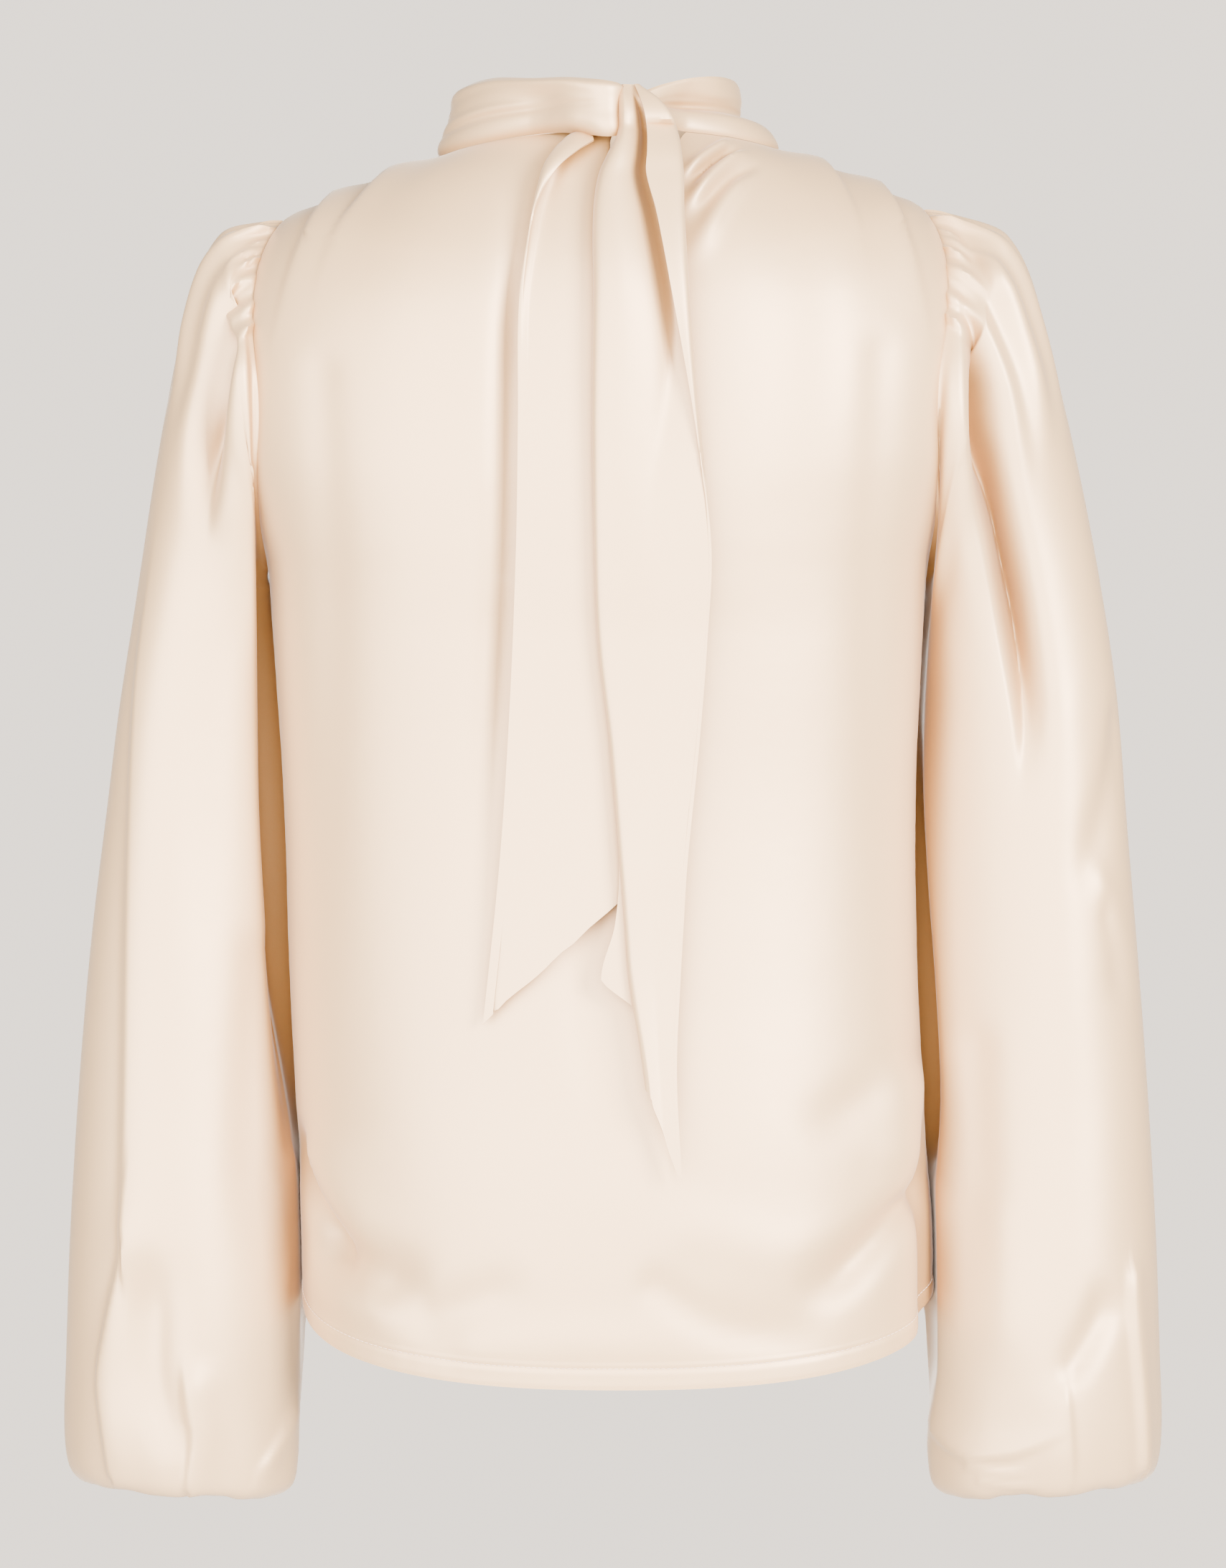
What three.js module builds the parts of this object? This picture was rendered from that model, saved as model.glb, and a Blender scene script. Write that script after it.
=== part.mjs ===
// A satin blouse seen from behind: high neckband tied at the back of the neck with two long pointed ties,
// pleats at the shoulders, full sleeves gathered at the head and bloused over narrow cuffs, and a
// shirt-tail hem. It keeps the hollow form of a worn garment. Millimetres, +Z up, +X to the right when
// seen from behind, and the back of the garment faces -Y. The origin is on the wearer's neck base,
// level with the neck points of the shoulder seams.
import * as THREE from 'three';

// Driving dimensions
const clothWall = 1.2; // one layer of satin, at the stated least wall
const doubleWall = 2.0; // neckband, ties and cuffs are cut double
const seamGap = 0.4; // room between two pieces sewn together
const sleeveSeamRoom = 1.5; // room for the sleeve's rim, which meets the armhole at an angle
const sleeveClearance = 2.4; // room between the sleeve and the side of the body
const shoulderLean = 0.02; // the right shoulder is carried a little higher than the left
const leanFadesBelow = 420; // the lean is gone this far below the neck
const degree = Math.PI / 180;

// Rings of the body, from the neckline down to the hem. down: distance along the side; half: half width;
// back, front: depth behind and before the side seams; side, rear, fore: height at the side seam, centre
// back and centre front; shift: sideways offset; square: 2 is an ellipse, more is boxier; lift: how the
// height passes from side to centre.
const bodyRings = [
  { down: 0, half: 90, back: 63, front: 62, side: 0, rear: 7, fore: -40, shift: -2, square: 2.0, lift: 1.7 },
  { down: 30, half: 117, back: 78, front: 82, side: -8, rear: -14, fore: -60, shift: -3, square: 2.1, lift: 1.5 },
  { down: 60, half: 144, back: 89, front: 96, side: -18, rear: -37, fore: -79, shift: -4, square: 2.2, lift: 1.3 },
  { down: 92, half: 169, back: 97, front: 106, side: -29, rear: -62, fore: -98, shift: -5, square: 2.3, lift: 1.2 },
  { down: 120, half: 187, back: 101, front: 113, side: -54, rear: -88, fore: -120, shift: -6, square: 2.4, lift: 1.2 },
  { down: 160, half: 199, back: 103, front: 121, side: -94, rear: -126, fore: -152, shift: -7, square: 2.4, lift: 1.2 },
  { down: 210, half: 196, back: 103, front: 127, side: -146, rear: -170, fore: -190, shift: -8, square: 2.4, lift: 1.2 },
  { down: 250, half: 183, back: 101, front: 127, side: -187, rear: -205, fore: -220, shift: -8, square: 2.4, lift: 1.2 },
  { down: 275, half: 175, back: 99, front: 125, side: -213, rear: -228, fore: -240, shift: -8, square: 2.4, lift: 1.2 },
  { down: 310, half: 172, back: 96, front: 121, side: -249, rear: -260, fore: -269, shift: -8, square: 2.4, lift: 1.2 },
  { down: 400, half: 167, back: 93, front: 115, side: -340, rear: -346, fore: -350, shift: -7, square: 2.4, lift: 1.2 },
  { down: 490, half: 166, back: 97, front: 111, side: -431, rear: -434, fore: -436, shift: -5, square: 2.4, lift: 1.1 },
  { down: 570, half: 166, back: 105, front: 110, side: -509, rear: -520, fore: -518, shift: -1, square: 2.4, lift: 0.9 },
  { down: 620, half: 167, back: 106, front: 109, side: -557, rear: -583, fore: -579, shift: 2, square: 2.4, lift: 0.8 },
  { down: 662, half: 167, back: 103, front: 107, side: -598, rear: -642, fore: -636, shift: 3, square: 2.4, lift: 0.75 },
];
const shoulderTip = 92; // down, where the shoulder seam meets the armhole
const underarm = 275; // down, where the armhole meets the side seam
const underarmHeight = -213;
const hemDown = 662;
const armholeTurn = { back: 30 * degree, front: 32 * degree }; // how far the armhole is cut into the ring
const armholeCurve = 0.8; // how quickly the cut deepens
const panelSteps = { shoulder: 11, armhole: 7, side: 11 }; // rows of the panels between those places
const panelColumns = { left: 16, right: 16, front: 26 };

// The back slit under the knot: lips at the neckline and the point where they meet
const slit = { left: -22, right: 38, foot: 3, row: 14, curve: 0.8 };

// Pleats let into the shoulder seams. x: place on the seam; swing: how far the fold runs outward;
// reach: its length down the cloth; rise: height; inner, outer: widths of its two slopes.
const shoulderPleats = [
  { side: -1, x: 114, swing: 42, reach: 84, rise: 4.5, inner: 15, outer: 6 },
  { side: -1, x: 147, swing: 32, reach: 100, rise: 4.0, inner: 13, outer: 6 },
  { side: 1, x: 108, swing: 24, reach: 74, rise: 2.5, inner: 15, outer: 8 },
  { side: 1, x: 140, swing: 27, reach: 94, rise: 4.5, inner: 14, outer: 6 },
];

// The largest folds of the two panels, as troughs (-) and ridges (+) along a curve through three points
// of the panel seen from behind. wide: half width of the fold.
const backFolds = [
  { x0: -163, z0: -545, x1: -118, z1: -600, x2: -20, z2: -598, rise: -5, wide: 15 },
  { x0: 160, z0: -540, x1: 118, z1: -592, x2: 20, z2: -601, rise: -6, wide: 15 },
  { x0: -140, z0: -500, x1: -90, z1: -555, x2: 40, z2: -560, rise: 3, wide: 26 },
  { x0: 158, z0: -495, x1: 120, z1: -540, x2: 30, z2: -575, rise: 4, wide: 18 },
  { x0: -8, z0: -330, x1: -22, z1: -450, x2: -36, z2: -560, rise: -4, wide: 20 },
  { x0: 58, z0: -6, x1: 48, z1: -26, x2: 34, z2: -64, rise: 3, wide: 6 },
  { x0: -60, z0: -120, x1: -66, z1: -260, x2: -58, z2: -420, rise: -3, wide: 16 },
  { x0: 96, z0: -90, x1: 84, z1: -240, x2: 92, z2: -400, rise: 3, wide: 22 },
];
const frontFolds = [
  { x0: 150, z0: -530, x1: 92, z1: -590, x2: 8, z2: -592, rise: -5, wide: 16 },
  { x0: -152, z0: -524, x1: -100, z1: -586, x2: -14, z2: -596, rise: -5, wide: 15 },
  { x0: 78, z0: -190, x1: 70, z1: -330, x2: 82, z2: -470, rise: 4, wide: 20 },
  { x0: -76, z0: -190, x1: -86, z1: -320, x2: -70, z2: -480, rise: 4, wide: 22 },
  { x0: 4, z0: -170, x1: -6, z1: -300, x2: 6, z2: -440, rise: -4, wide: 24 },
];
const seamFade = 26; // folds die away this close to a side seam
const curveSteps = 10; // chords that stand for the curve of a fold

// Rings of a sleeve, from the armhole to the cuff seam. along: distance down the sleeve; overX, overZ:
// the line over the arm; underX, underZ: the line under the arm; back, front: depth; tuck: how far the
// under line lies forward. The first ring is the armhole itself.
const sleeveRings = [
  { along: 8, overX: 178, overZ: -25, underX: 178, underZ: -213, back: 62, front: 63, tuck: 0 },
  { along: 18, overX: 190, overZ: -28, underX: 182, underZ: -221, back: 66, front: 69, tuck: 6 },
  { along: 32, overX: 203, overZ: -38, underX: 182, underZ: -231, back: 66, front: 70, tuck: 13 },
  { along: 52, overX: 215, overZ: -55, underX: 180, underZ: -244, back: 64, front: 69, tuck: 18 },
  { along: 82, overX: 225, overZ: -83, underX: 177, underZ: -262, back: 60, front: 67, tuck: 23 },
  { along: 122, overX: 235, overZ: -121, underX: 173, underZ: -288, back: 57, front: 65, tuck: 27 },
  { along: 172, overX: 245, overZ: -170, underX: 169, underZ: -322, back: 54, front: 64, tuck: 30 },
  { along: 232, overX: 255, overZ: -229, underX: 166, underZ: -364, back: 53, front: 63, tuck: 31 },
  { along: 292, overX: 264, overZ: -289, underX: 163, underZ: -407, back: 53, front: 62, tuck: 30 },
  { along: 352, overX: 270, overZ: -349, underX: 161, underZ: -451, back: 54, front: 61, tuck: 28 },
  { along: 412, overX: 276, overZ: -408, underX: 160, underZ: -496, back: 56, front: 61, tuck: 25 },
  { along: 472, overX: 281, overZ: -468, underX: 160, underZ: -541, back: 58, front: 60, tuck: 21 },
  { along: 532, overX: 285, overZ: -528, underX: 161, underZ: -585, back: 60, front: 60, tuck: 16 },
  { along: 592, overX: 288, overZ: -588, underX: 163, underZ: -628, back: 61, front: 60, tuck: 11 },
  { along: 642, overX: 289, overZ: -640, underX: 166, underZ: -664, back: 60, front: 58, tuck: 8 },
  { along: 677, overX: 289, overZ: -674, underX: 168, underZ: -688, back: 56, front: 60, tuck: 6 },
  { along: 692, overX: 284, overZ: -692, underX: 173, underZ: -702, back: 50, front: 53, tuck: 4 },
  { along: 704, overX: 274, overZ: -699, underX: 183, underZ: -706, back: 43, front: 44, tuck: 2 },
  { along: 716, overX: 265, overZ: -694, underX: 191, underZ: -699, back: 38, front: 38, tuck: 1 },
  { along: 740, overX: 264, overZ: -670, underX: 192, underZ: -670, back: 36, front: 36, tuck: 0 },
];
const armholeBlend = 30; // the sleeve takes its own form within this distance of the armhole
const upperArm = { spread: 3.5, at: 250, wide: 120 }; // the right upper arm stands out, the left less
const innerDraw = { depth: 12, at: 240, wide: 170 }; // the right sleeve is drawn in along the body
const sleeveFullness = { from: 40, count: 7, rise: 2.6, peak: 46, fades: 150, spread: 160 * degree };
const gathers = { count: 14, spread: 128 * degree, rise: 1.7, start: 0.5, fades: 26 };
const gatherColumns = 42; // columns that carry the gathers at the sleeve head
const plainColumns = 12; // columns round the rest of the head
const lowerColumns = 28; // columns of the sleeve below the head
const headAlong = 84; // the gathered columns end here
const sleeveStops = [8, 13, 20, 30, 44, 62, 84, 118, 160, 215, 280, 350, 420, 490, 555, 610, 655, 682, 695, 705, 718, 740];

// The folds of a sleeve, seen from behind (back) and from before (front), with x counted outward.
const sleeveFolds = [
  { face: 1, x0: 196, z0: -62, x1: 208, z1: -120, x2: 222, z2: -230, rise: -6, wide: 9 },
  { face: 1, x0: 190, z0: -90, x1: 198, z1: -160, x2: 202, z2: -330, rise: 4, wide: 9 },
  { face: 1, x0: 238, z0: -210, x1: 258, z1: -420, x2: 262, z2: -660, rise: 4, wide: 12 },
  { face: 1, x0: 214, z0: -560, x1: 226, z1: -630, x2: 230, z2: -690, rise: -5, wide: 12 },
  { face: -1, x0: 200, z0: -60, x1: 216, z1: -140, x2: 230, z2: -300, rise: -6, wide: 10 },
  { face: -1, x0: 240, z0: -220, x1: 250, z1: -420, x2: 244, z2: -650, rise: 4, wide: 13 },
  { face: -1, x0: 204, z0: -520, x1: 212, z1: -600, x2: 208, z2: -690, rise: -5, wide: 12 },
];
const sleeveFoldFade = 0.35; // folds fade where the sleeve turns away, as a share of its depth

const cuff = { x: 228, y: 0, top: -669.5, height: 30, rise: 0.4, columns: 30 };

// Stations of the neckband from its free end right of the knot, round the front, to the wrap over the
// knot. turn: angle on the neckline (0 right, 90 back, 180 left, 270 front) where the band is sewn to it;
// the free ends give their lower edge as x, y, z. topX, topY, topZ: the upper edge; crease: how far the
// band stands out at the crease over its lower part.
const bandStations = [
  { turn: 90, x: 18, y: -75, z: 9, topX: 17.5, topY: -69, topZ: 27, crease: 1 },
  { turn: 78, x: 27, y: -70, z: 9, topX: 27, topY: -63, topZ: 32, crease: 2 },
  { turn: 64, topX: 42, topY: -52, topZ: 37, crease: 3 },
  { turn: 42, topX: 56, topY: -36, topZ: 41, crease: 4 },
  { turn: 22, topX: 65, topY: -12, topZ: 42, crease: 5 },
  { turn: 0, topX: 67, topY: 10, topZ: 41, crease: 5 },
  { turn: -25, topX: 61, topY: 34, topZ: 38, crease: 4 },
  { turn: -50, topX: 43, topY: 55, topZ: 33, crease: 3 },
  { turn: -72, topX: 18, topY: 66, topZ: 28, crease: 2 },
  { turn: -90, topX: -6, topY: 69, topZ: 26, crease: 2 },
  { turn: -108, topX: -31, topY: 66, topZ: 28, crease: 2 },
  { turn: -130, topX: -57, topY: 54, topZ: 34, crease: 3 },
  { turn: -155, topX: -75, topY: 32, topZ: 39, crease: 4 },
  { turn: -180, topX: -80, topY: 8, topZ: 38, crease: 4 },
  { turn: -202, topX: -76, topY: -16, topZ: 34, crease: 4 },
  { turn: -224, topX: -62, topY: -40, topZ: 32, crease: 3 },
  { turn: -244, topX: -42, topY: -60, topZ: 32, crease: 3 },
  { turn: -257, topX: -22, topY: -74, topZ: 32, crease: 3 },
  { turn: -263, x: -11, y: -84, z: 2, topX: -10, topY: -82, topZ: 30, crease: 4 },
  { turn: -268, x: -3, y: -90, z: 0, topX: -2, topY: -86, topZ: 29, crease: 5 },
  { turn: -272, x: 2.2, y: -86, z: 3, topX: 2.4, topY: -83, topZ: 26, crease: 0.5 },
];
const bandRoom = 1.7; // room for the band's rim over the neckline
const bandSteps = 2; // columns of the band between two stations
const bandHeights = [0, 0.16, 0.3, 0.44, 0.72, 1]; // rows of the band, as a share of its height
const bandCrease = { at: 0.3, wide: 0.16 };

// The knot under the wrap: a short thick roll that both ends of the band turn round
const knot = { x: 11, y: -75.5, z: 14, wide: 5, deep: 4.2, tall: 9 };

// Rows of the upper tie, the one that falls over the knot. Across its cloth it goes from the short edge
// (rear), right to a fold (bend), back left to the roll that shows (roll), into the valley beside it, out
// to a second fold (edge) and back to the long edge (lip). out: how far its rear layer stands off the back
// panel; crown: how far the roll and the second fold stand off the valley.
const overTie = [
  { z: 27, rear: 7, bend: 11, roll: 5, valley: 9, edge: 14, lip: 11, out: 13, crown: 1 },
  { z: 20, rear: 7, bend: 13, roll: 5.4, valley: 12, edge: 23, lip: 14, out: 17.5, crown: 2.5 },
  { z: 11, rear: 7, bend: 17, roll: 5.2, valley: 14, edge: 30, lip: 17, out: 18.3, crown: 4 },
  { z: 2, rear: 7, bend: 19, roll: 4.6, valley: 14, edge: 32, lip: 19, out: 15, crown: 5 },
  { z: -8, rear: 6, bend: 20, roll: -1, valley: 14, edge: 34, lip: 20, out: 13, crown: 6 },
  { z: -20, rear: 5, bend: 22, roll: -6, valley: 12, edge: 35, lip: 19, out: 10, crown: 6.5 },
  { z: -40, rear: 3, bend: 24, roll: -9, valley: 12, edge: 36, lip: 22, out: 8, crown: 6.5 },
  { z: -80, rear: 0, bend: 25, roll: -9.5, valley: 19, edge: 38, lip: 30, out: 9, crown: 5.5 },
  { z: -150, rear: -3, bend: 26, roll: -10, valley: 23, edge: 44, lip: 43, out: 9, crown: 3.5 },
  { z: -210, rear: -5, bend: 26, roll: -9, valley: 22, edge: 47, lip: 50, out: 9.6, crown: 2 },
  { z: -260, rear: -5, bend: 26, roll: -7, valley: 21, edge: 45, lip: 48, out: 10.8, crown: 1.2 },
  { z: -312, rear: -5, bend: 26, roll: -1, valley: 22, edge: 40, lip: 44, out: 12, crown: 1 },
  { z: -372, rear: -5, bend: 26, roll: 4, valley: 22, edge: 34, lip: 38, out: 13, crown: 0.8 },
  { z: -430, rear: -5, bend: 26, roll: 8.5, valley: 22, edge: 31, lip: 34.5, out: 11, crown: 0.8 },
  { z: -480, rear: -4, bend: 27, roll: 16, valley: 24, edge: 29, lip: 32.5, out: 10, crown: 0.8 },
  { z: -540, rear: -4, bend: 28, roll: 22, valley: 28, edge: 32, lip: 35.5, out: 9, crown: 0.8 },
];
const overCut = { shortZ: -432, longZ: -533 }; // the end is cut on the bias, from short to long edge

// Rows of the lower tie, which leaves the knot under the wrap and hangs to the left: from its long edge
// (left) to a fold (right) and back under itself to the short edge (under). lift: how far its left side
// stands off the back panel; seat: the same for its rear layer; curl: how round its left edge is.
const underTie = [
  { z: 9, left: -7.5, right: -2, under: -5, lift: 8, seat: 5, curl: 0.2 },
  { z: 3, left: -8, right: -2, under: -5.5, lift: 8.6, seat: 5.4, curl: 0.3 },
  { z: -1, left: -20, right: -2, under: -9, lift: 12, seat: 6, curl: 0.6 },
  { z: -4, left: -29, right: -2, under: -12, lift: 14, seat: 6, curl: 1 },
  { z: -14, left: -35, right: -2, under: -16, lift: 14, seat: 4.5, curl: 1 },
  { z: -27, left: -39, right: 0, under: -20, lift: 11, seat: 3.6, curl: 1 },
  { z: -45, left: -43, right: 1, under: -26, lift: 8.4, seat: 3.2, curl: 0.7 },
  { z: -85, left: -48, right: 6, under: -34, lift: 6, seat: 3, curl: 0.2 },
  { z: -145, left: -48.5, right: 12, under: -38, lift: 5.8, seat: 3, curl: 0 },
  { z: -210, left: -49.5, right: 14, under: -40, lift: 6.2, seat: 3.4, curl: 0 },
  { z: -295, left: -53, right: 14, under: -40, lift: 7.6, seat: 4.8, curl: 0 },
  { z: -372, left: -58, right: 14, under: -42, lift: 8.2, seat: 5.4, curl: 0 },
  { z: -460, left: -67, right: 14, under: -44, lift: 7, seat: 4.2, curl: 0 },
];
const underCut = { longZ: -455, shortZ: -318 };
const tieRows = 14; // rows along a tie
const foldRound = 1.4; // half the distance between two layers of a folded tie

const clamp = (value, low, high) => Math.min(high, Math.max(low, value));
const mix = (from, to, share) => from + (to - from) * share;
const ease = (share) => clamp(share, 0, 1) ** 2 * (3 - 2 * clamp(share, 0, 1));
const signedPower = (value, power) => Math.sign(value) * Math.abs(value) ** power;
const bell = (distance, wide) => Math.exp(-((distance / wide) ** 2));

// A row of a table at any place between its rows, with every column on a smooth curve
function rowAt(table, key, place) {
  const last = table.length - 1;
  const rising = table[last][key] > table[0][key];
  let index = 0;
  while (index < last - 1 && (rising ? place > table[index + 1][key] : place < table[index + 1][key])) {
    index += 1;
  }
  const before = table[Math.max(index - 1, 0)];
  const start = table[index];
  const end = table[index + 1];
  const after = table[Math.min(index + 2, last)];
  const span = end[key] - start[key];
  const share = clamp((place - start[key]) / span, 0, 1);
  const square = share * share;
  const cube = square * share;
  const row = {};
  for (const column of Object.keys(start)) {
    const enter = ((end[column] - before[column]) / (end[key] - before[key])) * span;
    const leave = ((after[column] - start[column]) / (after[key] - start[key])) * span;
    row[column] =
      start[column] * (2 * cube - 3 * square + 1) +
      enter * (cube - 2 * square + share) +
      end[column] * (3 * square - 2 * cube) +
      leave * (cube - square);
  }
  return row;
}

// Height of a fold at a place on its panel: full at the fold's first end, and gone at its last
function foldHeight(fold, x, z) {
  let nearest = Infinity;
  let passed = 0;
  let px = fold.x0;
  let pz = fold.z0;
  for (let step = 1; step <= curveSteps; step += 1) {
    const t = step / curveSteps;
    const first = (1 - t) * (1 - 2 * t);
    const middle = 4 * t * (1 - t);
    const end = t * (2 * t - 1);
    const nx = fold.x0 * first + fold.x1 * middle + fold.x2 * end;
    const nz = fold.z0 * first + fold.z1 * middle + fold.z2 * end;
    const length = (nx - px) ** 2 + (nz - pz) ** 2;
    const share = clamp(((x - px) * (nx - px) + (z - pz) * (nz - pz)) / length, 0, 1);
    const distance = Math.hypot(x - mix(px, nx, share), z - mix(pz, nz, share));
    if (distance < nearest) {
      nearest = distance;
      passed = (step - 1 + share) / curveSteps;
    }
    px = nx;
    pz = nz;
  }
  return fold.rise * bell(nearest, fold.wide) * (1 - ease(passed));
}

// The smooth form of the body. turn: 0 at the right side seam, 90 degrees at the centre back
function bodyForm(turn, down) {
  const ring = rowAt(bodyRings, 'down', down);
  const power = 2 / ring.square;
  const behind = Math.sin(turn) >= 0;
  const round = Math.abs(Math.sin(turn));
  const depth = behind ? -ring.back : ring.front;
  const middle = behind ? ring.rear : ring.fore;
  const x = ring.shift + ring.half * signedPower(Math.cos(turn), power);
  const lean = shoulderLean * x * (1 - ease(down / leanFadesBelow));
  return new THREE.Vector3(x, depth * round ** power, mix(ring.side, middle, round ** ring.lift) + lean);
}

// Unit normal of a form at a place, taken across small steps of its two measures
function normalOf(form, first, second, firstStep, secondStep) {
  const across = form(first + firstStep, second).sub(form(first - firstStep, second));
  const along = form(first, second + secondStep).sub(form(first, second - secondStep));
  return across.cross(along).normalize();
}
const turnStep = 0.6 * degree;
const downStep = 2;

// Height of the shoulder pleats, the same on both sides of the shoulder seam
function pleatHeight(place, down) {
  const seam = bodyForm(0, Math.min(down, shoulderTip));
  const run = Math.hypot(place.y, Math.max(0, seam.z - place.z));
  let height = 0;
  for (const pleat of shoulderPleats) {
    const share = run / pleat.reach;
    const offset = place.x * pleat.side - (pleat.x + pleat.swing * ease(share));
    const wide = offset < 0 ? pleat.inner : pleat.outer;
    if (share < 1) {
      height += pleat.rise * bell(offset, wide) * (1 - ease(share));
    }
  }
  return height;
}

// The body with its pleats and folds
function bodySurface(turn, down) {
  const place = bodyForm(turn, down);
  const folds = Math.sin(turn) >= 0 ? backFolds : frontFolds;
  const nearSeam = ease(Math.abs(place.y) / seamFade);
  let height = down < 2 * shoulderTip ? pleatHeight(place, down) : 0;
  for (const fold of folds) {
    height += foldHeight(fold, place.x, place.z) * nearSeam;
  }
  return place.addScaledVector(normalOf(bodyForm, turn, down, turnStep, downStep), height);
}

// Share of the way round a quarter of the body at an angle, and the angle at a share, so that the
// columns of a panel are evenly spaced along its cloth
const quarterSteps = 90;
const quarterLengths = [0];
for (let step = 1; step <= quarterSteps; step += 1) {
  const near = bodyForm(((step - 1) / quarterSteps) * 90 * degree, 400);
  const far = bodyForm((step / quarterSteps) * 90 * degree, 400);
  quarterLengths.push(quarterLengths[step - 1] + near.distanceTo(far));
}
function shareOfTurn(turn) {
  const quarters = turn / (90 * degree);
  const whole = Math.floor(quarters + 1e-9);
  const mirrored = Math.abs(whole % 2) === 1;
  const part = clamp(quarters - whole, 0, 1);
  const place = (mirrored ? 1 - part : part) * quarterSteps;
  const index = Math.min(Math.floor(place), quarterSteps - 1);
  const length = mix(quarterLengths[index], quarterLengths[index + 1], place - index);
  const share = length / quarterLengths[quarterSteps];
  return whole + (mirrored ? 1 - share : share);
}
function turnOfShare(share) {
  const whole = Math.floor(share + 1e-9);
  const mirrored = Math.abs(whole % 2) === 1;
  const part = clamp(share - whole, 0, 1);
  const length = (mirrored ? 1 - part : part) * quarterLengths[quarterSteps];
  let index = 0;
  while (index < quarterSteps - 1 && quarterLengths[index + 1] < length) {
    index += 1;
  }
  const step = (length - quarterLengths[index]) / (quarterLengths[index + 1] - quarterLengths[index]);
  const quarter = (index + clamp(step, 0, 1)) / quarterSteps;
  return (whole + (mirrored ? 1 - quarter : quarter)) * 90 * degree;
}

// How far round the ring a panel's side edge lies from the side line: the half seam, and the armhole
function edgeTurn(down, behind) {
  const ring = rowAt(bodyRings, 'down', down);
  const depth = behind ? ring.back : ring.front;
  const seam = Math.asin((seamGap / 2 / depth) ** (ring.square / 2));
  return seam + armholeCut(down, behind);
}
function armholeCut(down, behind) {
  if (down <= shoulderTip || down >= underarm) {
    return 0;
  }
  const share = (down - shoulderTip) / (underarm - shoulderTip);
  const widest = behind ? armholeTurn.back : armholeTurn.front;
  return widest * Math.sin(Math.PI * share) ** armholeCurve;
}
function turnAtX(x, down) {
  const ring = rowAt(bodyRings, 'down', down);
  return Math.acos(clamp(signedPower((x - ring.shift) / ring.half, ring.square / 2), -1, 1));
}

// Rows of the two panels, closer together over the shoulder where the pleats are
function panelDowns() {
  const downs = [];
  for (let step = 0; step < panelSteps.shoulder; step += 1) {
    downs.push((shoulderTip * step) / panelSteps.shoulder);
  }
  for (let step = 0; step < panelSteps.armhole; step += 1) {
    downs.push(mix(shoulderTip, underarm, step / panelSteps.armhole));
  }
  for (let step = 0; step <= panelSteps.side; step += 1) {
    downs.push(mix(underarm, hemDown, step / panelSteps.side));
  }
  return downs;
}

// A sheet of cloth is a list of outer points, their inner points and the faces between them
function newSheet() {
  return { outer: [], inner: [], faces: [] };
}
function addPoint(sheet, point, normal, wall) {
  sheet.outer.push(point);
  sheet.inner.push(point.clone().addScaledVector(normal, -wall));
  return sheet.outer.length - 1;
}

// Faces between two rows of points, each row with its own places in rising order
function joinRows(sheet, first, second, firstPlaces, secondPlaces) {
  let a = 0;
  let b = 0;
  while (a < first.length - 1 || b < second.length - 1) {
    const nextFirst = a < first.length - 1 ? firstPlaces[a + 1] : Infinity;
    const nextSecond = b < second.length - 1 ? secondPlaces[b + 1] : Infinity;
    if (nextFirst <= nextSecond) {
      sheet.faces.push([first[a], first[a + 1], second[b]]);
      a += 1;
    } else {
      sheet.faces.push([first[a], second[b + 1], second[b]]);
      b += 1;
    }
  }
}
function joinGrid(sheet, rows) {
  for (let row = 0; row < rows.length - 1; row += 1) {
    const places = rows[row].map((index, column) => column);
    joinRows(sheet, rows[row], rows[row + 1], places, places);
  }
}

// Close a sheet into a solid wall: outer faces, inner faces, and a rim along every free edge
function solidFrom(sheet) {
  const count = sheet.outer.length;
  const faces = [];
  const edges = new Map();
  for (const [a, b, c] of sheet.faces) {
    if (a === b || b === c || a === c) {
      continue;
    }
    faces.push([a, b, c], [count + a, count + c, count + b]);
    for (const [from, to] of [[a, b], [b, c], [c, a]]) {
      const back = `${to}_${from}`;
      if (edges.has(back)) {
        edges.delete(back);
      } else {
        edges.set(`${from}_${to}`, [from, to]);
      }
    }
  }
  for (const [from, to] of edges.values()) {
    faces.push([to, from, count + from], [to, count + from, count + to]);
  }
  const points = [...sheet.outer, ...sheet.inner];
  let volume = 0;
  for (const [a, b, c] of faces) {
    volume += points[a].dot(points[b].clone().cross(points[c])) / 6;
  }
  const outward = volume > 0 ? faces : faces.map(([a, b, c]) => [a, c, b]);
  return { points, faces: outward };
}

// Finishes
const satin = { colour: 0xf0e2d4, roughness: 0.38 };
const tieSatin = { colour: 0xefe0d1, roughness: 0.36 };
const bandSatin = { colour: 0xeedfce, roughness: 0.37 };
const blouse = new THREE.Group();
blouse.name = 'blouse';

function addSolid(name, solid, finish) {
  const used = new Map();
  const values = [];
  const order = [];
  for (const face of solid.faces) {
    for (const index of face) {
      if (!used.has(index)) {
        used.set(index, used.size);
        values.push(...solid.points[index].toArray());
      }
      order.push(used.get(index));
    }
  }
  const geometry = new THREE.BufferGeometry();
  geometry.setAttribute('position', new THREE.Float32BufferAttribute(values, 3));
  geometry.setIndex(order);
  geometry.computeVertexNormals();
  const material = new THREE.MeshStandardMaterial({
    color: finish.colour,
    roughness: finish.roughness,
    metalness: 0,
  });
  const mesh = new THREE.Mesh(geometry, material);
  mesh.name = name;
  blouse.add(mesh);
}

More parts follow.
